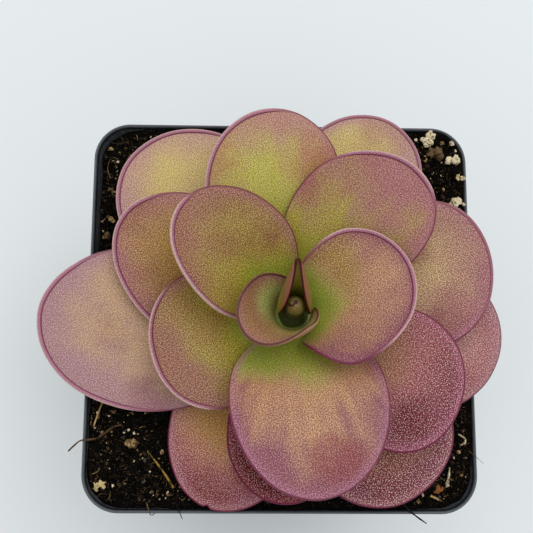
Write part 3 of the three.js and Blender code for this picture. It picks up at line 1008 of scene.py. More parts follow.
    def relief(self, x: np.ndarray, y: np.ndarray, top: bool) -> np.ndarray:
        """Height of the fine relief: a channel along the midrib and gentle swells.

        Args:
            x: Distance along the midrib.
            y: Distance across.
            top: True for the upper face. The lower one has a keel under the channel.

        Returns:
            The height outward from the face, in millimetres.
        """
        fade = 1 - ease(x / self.length, 0.25, 0.8)
        swell = self.SWELL * layered_noise(abreast(x, y, 0.0), self.SWELL_SIZE, self.seed + 3)
        ridge = bell(y, 0, self.CHANNEL_WIDTH) * fade
        if top:
            return swell - self.CHANNEL * ridge
        return self.SWELL_BELOW * swell + self.KEEL * ridge

    def thickness(self, x: np.ndarray, share: np.ndarray, edge: np.ndarray) -> np.ndarray:
        """The blade's thickness, from foot to tip and, by share squared, toward its edge."""
        blade = lerp(self.FOOT_THICKNESS, self.BLADE_THICKNESS, ease(x, 0, 0.8 * self.length))
        return lerp(self.slim * blade, edge, share**2)

    def edge_thickness(self, band: np.ndarray) -> np.ndarray:
        """The margin's thickness, greater where it is rolled up as a band."""
        return self.slim * lerp(self.LINE_THICKNESS, self.MARGIN_THICKNESS, band)

    def section(self) -> Section:
        """Walks each column from the midrib over the upper face, round the rim and back below.

        Returns:
            The rows, in that order.
        """
        spine, along, across, flat, rolled, band = self.rim()
        edge = self.edge_thickness(band)
        rows: list[tuple[np.ndarray, ...]] = []

        def blade_row(share: float, top: bool) -> None:
            """Adds a row on the open blade.

            Args:
                share: Where, as a share of the way from the midrib to the margin.
                top: True for the upper face.
            """
            out = flat * share
            x, y = spine + along * out, across * out
            sign = 1.0 if top else -1.0
            half = self.thickness(x, np.full_like(x, share), edge) / 2
            lift = sign * (half + self.relief(x, y, top) * (1 - share**8))
            rows.append((out, lift, out, 0 * out, 0 * out + (not top)))

        def roll_row(share: Numbers, half: np.ndarray, around: float, below: float) -> None:
            """Adds a row on the rolled margin.

            Args:
                share: How far round the roll it is.
                half: How far inside the middle of the margin's thickness it is.
                around: Its place round the margin, for the masks.
                below: 1 on the lower face.
            """
            radius = self.ROLL_RADIUS - half
            turned = rolled * share
            out = flat + radius * np.sin(turned)
            walk = flat + (self.ROLL_RADIUS * rolled + edge / 2 - half) * share
            lift = self.ROLL_RADIUS - radius * np.cos(turned)
            rows.append((out, lift, walk, 0 * out + around, 0 * out + below))

        for row in range(self.BLADE_ROWS + 1):
            blade_row(1 - (1 - row / self.BLADE_ROWS) ** self.ROW_CROWDING, True)
        for row in range(1, self.ROLL_ROWS + 1):
            roll_row(row / self.ROLL_ROWS, edge / 2, row / self.ROLL_ROWS, 0.0)
        for row in range(1, self.END_ROWS):
            angle = math.pi * row / self.END_ROWS
            bulge = self.END_BULGE * edge / self.ROLL_RADIUS * math.sin(angle)
            roll_row(1 + bulge / rolled, edge / 2 * math.cos(angle), 1 + row / self.END_ROWS, 0.0)
        for row in range(self.ROLL_ROWS, 0, -1):
            roll_row(row / self.ROLL_ROWS, -edge / 2, 3 - row / self.ROLL_ROWS, 1.0)
        for row in range(self.BACK_ROWS, -1, -1):
            blade_row(1 - (1 - row / self.BACK_ROWS) ** self.ROW_CROWDING, False)
        out, lift, walk, around, below = (np.stack(part) for part in zip(*rows))
        return Section(
            spine + along * out,
            across * out,
            lift,
            flat - out,
            around,
            below,
            np.broadcast_to(band, out.shape),
            (spine + along * walk) / LEAF_MAP + 0.1,
            across * walk / LEAF_MAP + 0.5,
        )

    def masks(self, at: Section) -> dict[str, np.ndarray]:
        """Works out how much of each colour lies at each point.

        Args:
            at: The leaf's rows.

        Returns:
            The masks by name, each between 0 and 1 or a little past either.
        """
        lie, around, band = self.lie, at.around, at.band
        along, across = at.x / self.length, at.y / (self.width / 2)
        cloud = layered_noise(abreast(at.x, at.y, 0.0), 9.0, self.seed + 11)
        # Streaks fan out from a point behind the foot.
        fan = abreast(0.15 * at.x, 26 * at.y / (at.x + 9), 0.0)
        streak = lie.streak * layered_noise(fan, 1.6, self.seed + 17, 2)
        reach = along + 0.22 * np.abs(across) + 0.05 * cloud + 0.15 * streak
        green = 1 - ease(reach, lie.green - 0.2, lie.green + 0.26)
        flush = lie.base + lie.rim * np.exp(-np.maximum(at.left, 0) / lie.veil)
        flush = flush + lie.tip * ease(along, 0.35, 1.0) + lie.side * across
        flush = flush + 0.12 * cloud + streak
        deep = np.zeros_like(flush)
        for blot_x, blot_y, radius, strength in lie.blots:
            gap = np.hypot(at.x - blot_x, at.y - blot_y) + 0.2 * radius * cloud
            deep = np.maximum(deep, strength * (1 - ease(gap, 0.1 * radius, radius)))
        # On a rolled margin the line lies on its inner wall along the crease: partly the margin's own
        # dark red, partly painted shade in the crease.
        wall = hump(around, 0.0, 0.2, 0.7, 1.0)
        cap = hump(around, 0.8, 1.0, 2.2, 2.5)
        outer = hump(around, 1.48, 1.66, 2.3, 2.6)
        raised = np.clip(1.7 * band, 0, 1)
        fringe = 0.75 * bell(np.maximum(at.left, 0), 0, 1.1) * (around < 0.5)
        hair_line = (1 - raised) * hump(around, 0.8, 1.3, lie.line_end, lie.line_end + 0.5)
        rolled = ease(around, 0.2, 0.6) * (around < 2.6)
        return {
            "green": green,
            "flush": flush * (1 - 0.7 * green),
            "deep": deep * (1 - green),
            "edge": np.maximum(raised * cap, (1 - raised) * fringe * lie.fringe),
            "line": np.clip(raised * wall * (1 - at.below) + hair_line, 0, 1) * lie.line,
            "pale": lie.pale * raised * outer,
            "back": at.below * (ease(around, 2.1, 2.6) + (around == 0)),
            "smooth": lerp(0.6, 0.15, band) * rolled,
        }

    def shape(self) -> Patch:
        """Builds the leaf.

        Returns:
            One closed surface, clear of the crown, with its masks and its UV map.
        """
        at = self.section()
        rows, columns = at.x.shape
        points = clear_of_crown(self.place(at.x, at.y, at.lift)).reshape(-1, 3)
        number = np.arange(rows * columns).reshape(rows, columns)
        # Both halves of the fan share the points of the midrib, above and below.
        column = np.arange(columns)
        for row in (0, rows - 1):
            number[row] = number[row][np.minimum(column, columns - 1 - column)]
        faces = [number.ravel()[grid_quads(rows, columns, False)]]
        # Each half of the cut foot is a strip that zips the upper face to the lower one.
        middle = self.BLADE_ROWS + self.ROLL_ROWS + self.END_ROWS // 2
        upper = np.arange(middle + 1)
        lower = rows - 1 - np.round(upper * (rows - 1 - middle) / middle).astype(int)
        for side, turned in ((0, -1), (columns - 1, 1)):
            top, bottom = number[upper, side], number[lower, side]
            strip = np.stack([top[1:], top[:-1], bottom[:-1], bottom[1:]], axis=-1)
            faces.append(strip[:, ::turned])
        values = {"u": at.u, "v": at.v, **self.masks(at)}
        flat_values = {name: value.ravel() for name, value in values.items()}
        return clean(Patch(points, np.concatenate(faces), values=flat_values))

    def build(self) -> None:
        """Builds and dresses the leaf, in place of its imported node."""
        finish = self.finish.material(f"{self.node}_finish")
        dress(write_mesh(f"{self.node}_blade", self.shape()), finish, (self.node,))


def clear_of_crown(points: np.ndarray) -> np.ndarray:
    """Moves points that lie within CROWN_GAP of the crown straight out from its axis.

    Args:
        points: Places, with x, y and z on the last axis.

    Returns:
        The places, each at its own height.
    """
    off = points[..., :2] - (CROWN_X, CROWN_Y)
    distance = np.hypot(off[..., 0], off[..., 1])
    radii, heights = np.array(CROWN_PROFILE).T
    least = np.interp(points[..., 2], heights, radii, left=0, right=0) + CROWN_GAP
    least = np.where(points[..., 2] > heights[-1] + CROWN_GAP, 0, least)
    grown = np.maximum(distance, least) / np.maximum(distance, 1e-6)
    moved = points.copy()
    moved[..., :2] = off * grown[..., None] + (CROWN_X, CROWN_Y)
    return moved


def clean(patch: Patch) -> Patch:
    """Drops unused points and turns quads with a doubled corner into triangles.

    Args:
        patch: The surface.

    Returns:
        The same surface without them.
    """
    doubled = patch.quads == np.roll(patch.quads, -1, axis=1)
    whole = patch.quads[~doubled.any(axis=1)]
    once = doubled.sum(axis=1) == 1
    triangles = np.concatenate([patch.triangles, patch.quads[once][~doubled[once]].reshape(-1, 3)])
    used = np.zeros(len(patch.points), bool)
    used[whole.ravel()] = True
    used[triangles.ravel()] = True
    number = np.cumsum(used) - 1
    values = {key: value[used] for key, value in patch.values.items()}
    return Patch(patch.points[used], number[whole], number[triangles], values)


# ---------- other finishes
@dataclass(frozen=True)
class PotFinish(Finish):
    """Thin black plastic: satin, grey along the rim where scuffed and where a sheen is painted, with
    peat dust in its corners.
    """

    base: Hue = Hue.PLASTIC
    worn: Hue = Hue.SCUFF_AND_SHEEN_GREY
    dust: Hue = Hue.DUST

    def paint(self, bench: MaterialBench) -> None:
        """Paints the plastic, dusty where the mesh's grime value says so, and grey where its wear and
        sheen value says so: scuffs, and a painted sheen on the rim.

        Args:
            bench: The new material's bench.
        """
        wiring = bench.wiring
        (cloud, fleck), (relief, _) = bench.mottle(260.0), bench.grit(900.0)
        smudge = wiring.times(cloud, 1.4, wiring.attribute("grime"))
        dusty = wiring.spread(smudge, 0.25, 1.1, 0.0, 0.6)
        specks = wiring.times(dusty, wiring.spread(fleck, -0.1, 0.2))
        # Scuffs and painted sheen: the mesh value lightens the plastic toward grey, for the rim's wear
        # and as a painted reflection of the sky on its inner slope.
        scuffs_and_sheen = wiring.times(fleck, 0.8, wiring.attribute("worn"))
        plastic = wiring.blend(wiring.spread(scuffs_and_sheen, 0.0, 1.1), self.base.rgba, self.worn.rgba)
        bench.colour(wiring.blend(specks, plastic, self.dust.rgba))
        satin = wiring.times(cloud, 0.25, 0.36)
        bench.rough(wiring.times(dusty, 0.4, satin, clamp=True))
        bench.bump(relief, 0.05, 0.5)


@dataclass(frozen=True)
class PeatFinish(Finish):
    """Wet peat: nearly black, with browner crumbs and fibres, shining a little where wet."""

    dark: Hue = Hue.PEAT
    light: Hue = Hue.HUMUS

    # Painted shade: the pits of the relief are darker than the peat itself.
    HOLLOW_SHADE = (0.0012, 0.001, 0.0009, 1.0)

    def paint(self, bench: MaterialBench) -> None:
        """Paints the mix, browner where the mesh's tone value is high, with painted shade in the pits
        of its relief.

        Args:
            bench: The new material's bench.
        """
        bench.shine(0.05)
        wiring = bench.wiring
        (relief, pit), (cloud, fleck) = bench.grit(1400.0), bench.mottle(420.0)
        _, fine = bench.mottle(900.0)
        tone = wiring.times(fleck, 1.8, wiring.attribute("tone"))
        brown = wiring.spread(tone, 0.2, 1.1, 0.0, 0.9)
        colour = wiring.blend(brown, self.dark.rgba, self.light.rgba)
        specks = wiring.spread(fine, 0.11, 0.24, 0.0, 0.7)
        colour = wiring.blend(specks, colour, Hue.BARK.rgba)
        bench.colour(wiring.blend(pit, colour, self.HOLLOW_SHADE))
        bench.rough(wiring.spread(cloud, -0.25, 0.25, 0.62, 0.9))
        bench.bump(relief, 0.35)


@dataclass(frozen=True)
class ChunkFinish(Finish):
    """Perlite, bark, chips of straw and fibres: one colour, stained and pitted.

    grain is how many grains there are in a metre and pits how dark their hollows are.
    """

    base: Hue
    grain: float = 1300.0
    pits: float = 0.8

    def paint(self, bench: MaterialBench) -> None:
        """Paints the chunk's skin: humus stains in clouds, and its pits darker, toward the peat's
        colour.

        Args:
            bench: The new material's bench.
        """
        bench.shine(0.25, roughness=0.85)
        wiring = bench.wiring
        (relief, pit), (cloud, _) = bench.grit(self.grain), bench.mottle(0.5 * self.grain)
        stain = wiring.spread(cloud, 0.02, 0.3, 0.0, 0.65)
        colour = wiring.blend(stain, self.base.rgba, Hue.HUMUS.rgba)
        bench.colour(wiring.blend(wiring.times(pit, self.pits), colour, Hue.PEAT.rgba))
        bench.bump(relief, 0.25)


@dataclass(frozen=True)
class ShootFinish(Finish):
    """The skin of the crown and of the bud: green at the foot, dark red along free margins."""

    body: Hue
    foot: Hue
    line: Hue = Hue.CLARET
    dots: float = 0.15

    def paint(self, bench: MaterialBench) -> None:
        """Paints the skin from the mesh's green and line values.

        Args:
            bench: The new material's bench.
        """
        bench.shine(0.35)
        wiring = bench.wiring
        cloud, fleck = bench.mottle(520.0)
        green = wiring.times(cloud, 0.7, wiring.attribute("green"))
        colour = wiring.blend(wiring.spread(green, 0.2, 0.85), self.body.rgba, self.foot.rgba)
        dots = wiring.spread(fleck, 0.05, 0.22, 0.0, self.dots)
        colour = wiring.blend(dots, colour, Hue.GLAND.rgba)
        bench.colour(wiring.blend(wiring.attribute("line"), colour, self.line.rgba))
        bench.bump(fleck, 0.08, 0.8)


@dataclass(frozen=True)
class DewFinish(Finish):
    """Beads of clear slime, painted opaque: a tint that stands for the leaf seen through them, mixed in
    clouds with a painted pale highlight.
    """

    tint: Hue

    def paint(self, bench: MaterialBench) -> None:
        """Paints the glossy beads, each a little different from the next, with a painted pale highlight
        in place of a clear bead's sparkle.

        Args:
            bench: The new material's bench.
        """
        bench.shine(0.8)
        wiring = bench.wiring
        cloud, fleck = bench.mottle(700.0)
        # Painted highlight: clouds of pale colour in place of the glint of clear beads.
        share = wiring.spread(cloud, -0.2, 0.2, 0.1, 0.8)
        bench.colour(wiring.blend(share, self.tint.rgba, Hue.GLAND.rgba))
        bench.rough(wiring.spread(fleck, -0.2, 0.2, 0.08, 0.25))


# ---------- rounded squares
@dataclass(frozen=True)
class RoundedSquare:
    """The points of a square with round corners, taken anticlockwise.

    Each point is a place on the smaller square of the corners' centres plus the corner radius
    in the point's own direction. depth_share draws the whole out a little along Y.
    """

    corner_steps: int
    side_steps: int
    depth_share: float = 1.015

    def rings(self, half: np.ndarray, radius: np.ndarray, height: np.ndarray) -> np.ndarray:
        """Builds one level ring for each entry.

        Args:
            half: Half the width of each ring.
            radius: The radius of its corners.
            height: Its height.

        Returns:
            An array of rings by points by x, y and z.
        """
        centres, directions = [], []
        for corner in range(4):
            here, there = (
                np.sign(np.cos(np.radians([45 + 90 * k, 90 * k - 45]))) for k in (corner, corner + 1)
            )
            turned = np.radians(90 * (corner + np.linspace(0, 1, self.corner_steps + 1)))
            arc = abreast(np.cos(turned), np.sin(turned))
            along = np.linspace(0, 1, self.side_steps + 1)[1:-1, None]
            centres += [np.broadcast_to(here, arc.shape), lerp(here, there, along)]
            directions += [arc, np.broadcast_to(arc[-1], (self.side_steps - 1, 2))]
        centre, direction = np.concatenate(centres), np.concatenate(directions)
        core = (half - radius)[:, None, None]
        flat = (centre * core + direction * radius[:, None, None]) * (1, self.depth_share)
        level = np.broadcast_to(height[:, None, None], flat.shape[:2] + (1,))
        return np.concatenate([flat, level], axis=-1)


@dataclass(frozen=True)
class NurseryPot:
    """The thin square pot: a tapered wall, a band round the top and four drain holes.

    The rim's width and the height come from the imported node.
    """

    base_width: float = 55.0
    wall: float = 1.2
    rim_wall: float = 0.8
    floor: float = 2.0
    band_foot: float = 61.0
    band_step: float = 0.9
    band_slope: float = 0.8
    lip: float = 0.3
    lip_depth: float = 2.6
    foot_chamfer: float = 0.5
    rim_corner: float = 7.2
    base_corner: float = 5.5
    hole_radius: float = 4.0
    hole_offset: float = 18.5
    outline: RoundedSquare = RoundedSquare(14, 16)

    # How far below the lip the inner slope starts, and how far in from the lip's curve.
    SLOPE_DROP = 0.12
    SLOPE_SET_IN = 0.2
    FLOOR_FILLET = 1.5
    # Rows of the inner slope that still count as the lip.
    LIP_ROWS = 2
    # Where the painted sheen of the right-hand corners is centred, along X and along Y.
    SHEEN_CORNER = 36.0

    @property
    def rim_width(self) -> float:
        """The width over the rim."""
        low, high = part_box("pot")
        return METRE * (high.x - low.x)

    @property
    def height(self) -> float:
        """The height of the rim."""
        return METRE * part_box("pot")[1].z

    @property
    def inside(self) -> float:
        """How far the band's inner face lies out from the body's outer face."""
        return self.band_step - self.rim_wall

    def wall_rings(self, profile: np.ndarray, outline: RoundedSquare) -> np.ndarray:
        """Builds rings of the tapered wall.

        Args:
            profile: Rows of height and distance out from the body's outer face.
            outline: How finely the rings are divided.

        Returns:
            An array of rings by points by x, y and z.
        """
        height, out = profile[:, 0], profile[:, 1]
        share = height / self.height
        half = lerp(self.base_width / 2, self.rim_width / 2 - self.band_step, share)
        corner = lerp(self.base_corner, self.rim_corner - self.band_step, share)
        return outline.rings(half + out, corner + out, height)

    def profile(self) -> tuple[np.ndarray, int]:
        """Goes from the edge of the underside up the outside, over the lip and down the inside.

        Returns:
            Rows of height and distance out from the body's outer face, and the number of the
            first row that counts as inside.
        """
        top, foot, step, inside = self.height, self.band_foot, self.band_step, self.inside
        quarter = np.radians(np.linspace(0, 90, 6))
        off, down = 1 - np.cos(quarter), 1 - np.sin(quarter)
        share, slope = np.linspace(0, 1, 7), np.linspace(0, 1, 6)
        slope_top, slope_start = top - self.SLOPE_DROP, step - self.lip - self.SLOPE_SET_IN
        outer = [
            abreast(self.foot_chamfer * off, -self.foot_chamfer * down),
            abreast(np.linspace(2, foot - 3, 24), 0.0),
            abreast(foot - self.band_slope * (1 - share), step * s_curve(share)),
            abreast(np.linspace(foot + 1, top - 1, 5), step),
            abreast(top - self.lip * down, step - self.lip * off),
        ]
        inner = [
            abreast(slope_top - self.lip_depth * slope, lerp(slope_start, inside, slope * (2 - slope))),
            abreast(foot + self.band_slope * (0.5 - share), lerp(inside, -self.wall, s_curve(share))),
            abreast(np.linspace(foot - 3, 6, 16), -self.wall),
            abreast(self.floor + self.FLOOR_FILLET * down, -self.wall - self.FLOOR_FILLET * off),
        ]
        first_inside = sum(len(rows) for rows in outer) + self.LIP_ROWS
        return np.concatenate(outer + inner), first_inside

    def shape(self) -> Patch:
        """Builds the shell before its holes are cut, with the dust and the painted sheen on it.

        Dust gathers inside the rim and round the foot. The wear and sheen value greys the lip's top, as
        scuffs that also stand for its sheen, and paints a sheen down the slope inside it, lighter
        toward the left side and strongest in the right-hand corners.

        Returns:
            The closed shell.
        """
        profile, first_inside = self.profile()
        rings = self.wall_rings(profile, self.outline)
        patch = lathe_like(rings)
        x, y, height = patch.points.T
        inside = np.arange(len(patch.points)) >= first_inside * rings.shape[1]
        splash = ease(height, 60, 69) * inside + 0.5 * (1 - ease(height, 1, 9))
        patch.values["grime"] = splash * (0.6 + 0.4 * layered_noise(patch.points, 6.0, 91))
        corner = np.hypot(x - self.SHEEN_CORNER, np.abs(y) - self.SHEEN_CORNER)
        # Painted sheen on the slope inside the rim: some everywhere, more toward the left side, most in
        # the right-hand corners.
        lit = 0.35 + 0.3 * ease(-x, 20, 36) + 0.7 * bell(corner, 0, 6)
        worn = ease(height, self.height - 0.6, self.height - 0.1) + lit * ease(height, 64, 67) * inside
        patch.values["worn"] = np.clip(worn, 0, 1)
        return patch

    def cut_holes(self, pot: bpy.types.Object) -> None:
        """Cuts the drain holes out of the floor and keeps only the result.

        Args:
            pot: The shell, whose mesh is replaced.
        """
        turned = np.radians(np.arange(0, 360, 10))
        circle = abreast(np.cos(turned), np.sin(turned), 0.0) * self.hole_radius
        drills = []
        for side_x, side_y in itertools.product((-1, 1), repeat=2):
            middle = np.array([side_x, side_y, 0]) * self.hole_offset
            ends = [circle + middle + (0, 0, level) for level in (-self.floor, 2 * self.floor)]
            drills.append(lathe_like(np.stack(ends)))
        drill = write_mesh("pot_drill", joined(drills))
        cut = pot.modifiers.new("drain_holes", "BOOLEAN")
        cut.object = drill
        cut.operation = "DIFFERENCE"
        cut.solver = "EXACT"
        graph = bpy.context.evaluated_depsgraph_get()
        holed = bpy.data.meshes.new_from_object(pot.evaluated_get(graph))
        plain = pot.data
        pot.modifiers.clear()
        pot.data = holed
        bpy.data.meshes.remove(plain)
        bpy.data.objects.remove(drill)
        holed.name = "pot_shell"

    def build(self) -> None:
        """Builds and dresses the pot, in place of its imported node."""
        pot = write_mesh("pot_shell", self.shape())
        self.cut_holes(pot)
        dress(pot, PotFinish().material("pot_plastic"), ("pot",))


# ---------- potting mix
@dataclass(frozen=True)
class Fibre:
    """A root, stick or hair lying on the mix: how thick it is at either end, and its bends."""

    start: float
    end: float
    bends: tuple[tuple[float, float, float], ...]

    @staticmethod
    def through(start: float, end: float, *bends: tuple[float, float, float]) -> "Fibre":
        """Makes a fibre from a row of the table."""
        return Fibre(start, end, bends)


@dataclass(frozen=True)
class Chunk:
    """One larger piece in the mix: its seed, x, y, size, height next to its width and lumps."""

    seed: int
    x: float
    y: float
    size: float
    flatness: float
    lumps: int


def ball(rings: int, sides: int) -> Patch:
    """Builds a small closed ball of radius 1, with a point at either pole.

    Args:
        rings: How many level rings lie between the poles.
        sides: How many points are in each.

    Returns:
        The ball.
    """
    latitude = np.radians(np.linspace(-90, 90, rings + 2)[1:-1])[:, None]
    turned = once_round(sides)
    reach = np.cos(latitude)
    shell = lathe_like(abreast(reach * np.cos(turned), reach * np.sin(turned), np.sin(latitude)))
    shell.points[-2:] = ((0, 0, -1), (0, 0, 1))
    return shell


def copies(template: Patch, places: np.ndarray) -> Patch:
    """Repeats a small surface once for each block of points.

    Args:
        template: The surface whose faces are repeated.
        places: An array of copies by the template's points by x, y and z.

    Returns:
        All copies as one surface.
    """
    count, size = places.shape[:2]
    step = (np.arange(count) * size)[:, None, None]
    return Patch(
        places.reshape(-1, 3),
        (template.quads[None] + step).reshape(-1, 4),
        (template.triangles[None] + step).reshape(-1, 3),
    )


def random_turns(count: int, draws: np.random.Generator) -> np.ndarray:
    """Makes random rotations, each from a random unit quaternion.

    Args:
        count: How many.
        draws: The source of random numbers.

    Returns:
        An array of count rotation matrices.
    """
    w, x, y, z = unit(draws.normal(size=(count, 4))).T
    rows = [
        [1 - 2 * (y * y + z * z), 2 * (x * y - w * z), 2 * (x * z + w * y)],
        [2 * (x * y + w * z), 1 - 2 * (x * x + z * z), 2 * (y * z - w * x)],
        [2 * (x * z - w * y), 2 * (y * z + w * x), 1 - 2 * (x * x + y * y)],
    ]
    return np.moveaxis(np.array(rows), -1, 0)


def tube(path: np.ndarray, radius: np.ndarray, sides: int) -> Patch:
    """Builds a closed tube along a path, with a circle square to the path at each place.

    Args:
        path: Places along the middle.
        radius: The tube's radius at each.
        sides: How many points go round.

    Returns:
        The tube, closed at both ends.
    """
    forward = unit(np.gradient(path, axis=0))
    aside = unit(np.cross(forward, (0.0, 0.0, 1.0)))
    above = np.cross(aside, forward)
    turned = once_round(sides)[None, :, None]
    circle = np.cos(turned) * above[:, None] + np.sin(turned) * aside[:, None]
    return lathe_like(path[:, None] + circle * radius[:, None, None])


def smooth_path(bends: np.ndarray, steps: int) -> np.ndarray:
    """Rounds a bent line off by easing between its bends with a cubic through all of them.

    Args:
        bends: The places that the line passes.
        steps: How many places are wanted along each stretch.

    Returns:
        The places along the rounded line.
    """
    before = np.concatenate([bends[:1], bends[:-2]]) if len(bends) > 2 else bends[:1]
    after = np.concatenate([bends[2:], bends[-1:]]) if len(bends) > 2 else bends[-1:]
    share = np.linspace(0, 1, steps, endpoint=False)[None, :, None]
    here, there = bends[:-1, None], bends[1:, None]
    before, after = before[:, None], after[:, None]
    curve = 0.5 * (
        2 * here
        + (there - before) * share
        + (2 * before - 5 * here + 4 * there - after) * share**2
        + (3 * here - before - 3 * there + after) * share**3
    )
    return np.concatenate([curve.reshape(-1, 3), bends[-1:]])


@dataclass(frozen=True)
class PottingMix:
    """The peaty mix: a lumpy block with crumbs, larger chunks, perlite and fibres on it."""

    pot: NurseryPot
    chunks: dict[Hue, tuple[Chunk, ...]]
    fibres: dict[Hue, tuple[Fibre, ...]]
    gap: float = 0.2
    level: float = 66.8
    mound: float = 1.3
    outline: RoundedSquare = RoundedSquare(16, 124)

    # The mix ends this far below the rim, and leans out to the lip's slope by this much.
    RIM_DROP = 0.6
    RIM_LEAN = 0.35
    # Loose bits keep this far from the wall, and within this radius in the corners.
    BIT_MARGIN = 0.25
    CORNER, CORNER_REACH = 5.5, 5.3
    # How far a chunk may stand above the rim.
    PROUD = 1.5
    # A fibre's heights above this count from the pot's base.
    FIXED_HEIGHT = 60.0
    # How much the surface rises for each millimetre along X and along Y, and toward the wall.
    SLOPE_X, SLOPE_Y, WALL_CLIMB = 0.012, 0.008, 1.3
    # How far it lies below that at the left behind, and in the right front corner.
    SUNK_BEHIND, SUNK_CORNER, FRONT_CORNER = 1.9, 1.6, 36.0
    # Its lumps and grains: height and size.
    LUMPS, GRAINS = (0.4, 3.2), (0.16, 0.7)
    # How dark the hollows of chunks are, in pale flakes and in the rest.
    FLAKE_PITS, CHUNK_PITS = 0.35, 0.9
    # Loose bits: how many, the smallest and the largest, and the seed.
    CRUMBS = (3900, (0.1, 0.6), 5)
    HUSKS = (1700, (0.08, 0.42), 6)
    SPECKS = (560, (0.06, 0.26), 7)
    SHREDS = (650, 8)
    FIBRE_GRAIN = 900.0
    # Long waves of the surface: height, turn for each millimetre along X and along Y, phase.
    WAVES = (
        (0.1, 0.55, 0.47, 0.8),
        (0.1, 0.55, -0.47, 0.8),
        (0.14, -0.61, 0.93, 0.0),
        (0.1, 1.31, 0.77, 2.0),
    )

    def height(self, x: np.ndarray, y: np.ndarray) -> np.ndarray:
        """The height of the surface: a mound away from the crown, a slope, waves and lumps.

        It climbs toward the pot's walls, except at the left behind and in the right front corner.

        Args:
            x: Places along X.
            y: Places along Y.

        Returns:
            The height at each place.
        """
        reach = np.hypot(x - CROWN_X, y - CROWN_Y)
        height = self.level + self.mound * ease(reach, 6, 18) + self.SLOPE_X * x + self.SLOPE_Y * y
        for size, along_x, along_y, phase in self.WAVES:
            height = height + size * np.sin(along_x * x + along_y * y + phase)
        where = abreast(x, y, 0.0)
        (high, wide), (grain, fine) = self.LUMPS, self.GRAINS
        lumps = high * layered_noise(where, wide, 51) + grain * soft_noise(where, fine, 57)
        wall = ease(np.maximum(np.abs(x), np.abs(y)), 31, 36.5)
        corner = np.hypot(x - self.FRONT_CORNER, y + self.FRONT_CORNER)
        sunken = self.SUNK_BEHIND * ease(-x, 24, 36) * ease(y, 2, 14)
        sunken = sunken + self.SUNK_CORNER * bell(corner, 0, 9)
        return height + lumps * ease(reach, 8, 14) + wall * (self.WALL_CLIMB - sunken)

    def block(self) -> Patch:
        """Builds the block from its underside up the side, over the top and down to the crown.

        Every ring lies between the pot's inside and the crown's own circle, so the same
        number of points goes round each of them.

        Returns:
            The closed block.
        """
        pot, gap = self.pot, self.gap
        inside = pot.inside - gap
        below = [(height, -pot.wall - gap) for height in (pot.floor + gap, 30, pot.band_foot - 0.4)]
        above = [(pot.band_foot + height, inside) for height in (0.7, 4)]
        sides = pot.wall_rings(np.array(below + above), self.outline)
        full = pot.height - self.RIM_DROP
        edges = np.array([(self.level, inside), (full, inside + self.RIM_LEAN)])
        low, high = pot.wall_rings(edges, self.outline)
        filled = (self.height(high[:, 0], high[:, 1]) - self.level) / (full - self.level)
        rim = lerp(low, high, np.clip(filled, 0, 1)[:, None])
        turned = np.arctan2(rim[:, 1] - CROWN_Y, rim[:, 0] - CROWN_X)
        hole = CROWN_RADIUS + CROWN_GAP
        bore = abreast(CROWN_X + hole * np.cos(turned), CROWN_Y + hole * np.sin(turned), 0.0)
        share = np.concatenate([np.linspace(0, 0.42, 46), np.linspace(0.46, 1, 15)])[:, None, None]
        top = lerp(rim[None], bore[None], share)
        top[..., 2] = self.height(top[..., 0], top[..., 1])
        deep = np.repeat(bore[None], 2, axis=0)
        deep[..., 2] = np.array([[self.level - 5], [CROWN_FOOT - CROWN_GAP]])
        return lathe_like(np.concatenate([sides, top, deep]))

    def spots(self, count: int, draws: np.random.Generator) -> np.ndarray:
        """Draws places on the mix, most of them near the pot's wall, where they are in sight.

        Args:
            count: How many.
            draws: The source of random numbers.

        Returns:
            Rows of x and y.
        """
        half = self.pot.rim_width / 2 - self.pot.rim_wall - self.gap - self.BIT_MARGIN
        tries = draws.uniform(-half, half, size=(9 * count, 2))
        outward = np.max(np.abs(tries), axis=1)
        corner = np.hypot(*np.maximum(np.abs(tries) - half + self.CORNER, 0).T)
        likely = ease(outward + draws.uniform(-9, 3, len(tries)), 20, 31) > draws.random(len(tries))
        return tries[(corner < self.CORNER_REACH) & likely][:count]

    def strewn(self, count: int, sizes: tuple[float, float], seed: int) -> Patch:
        """Strews small angular bits over the mix.

        Args:
            count: How many.
            sizes: The smallest and the largest.
            seed: Chooses one of many such strewings.

        Returns:
            The bits, with a tone of its own for each.
        """
        draws = np.random.default_rng(seed)
        template = ball(2, 6)
        spots = self.spots(count, draws)
        size = lerp(*sizes, draws.random(count) ** 2.6)
        shape = size[:, None] * draws.uniform(0.5, 1.2, size=(count, 3))
        rough = 1 + 0.3 * draws.uniform(-1, 1, size=(count, len(template.points), 1))
        turned = random_turns(count, draws)
        blocks = np.einsum("nij,npj->npi", turned, template.points * rough * shape[:, None])
        level = self.height(spots[:, 0], spots[:, 1]) + size * draws.uniform(-0.1, 0.6, count)
        level = np.minimum(level, self.pot.height - 0.1 - size)
        patch = copies(template, blocks + np.column_stack([spots, level])[:, None])
        patch.values["tone"] = np.repeat(draws.random(count) ** 1.6, len(template.points))
        return patch

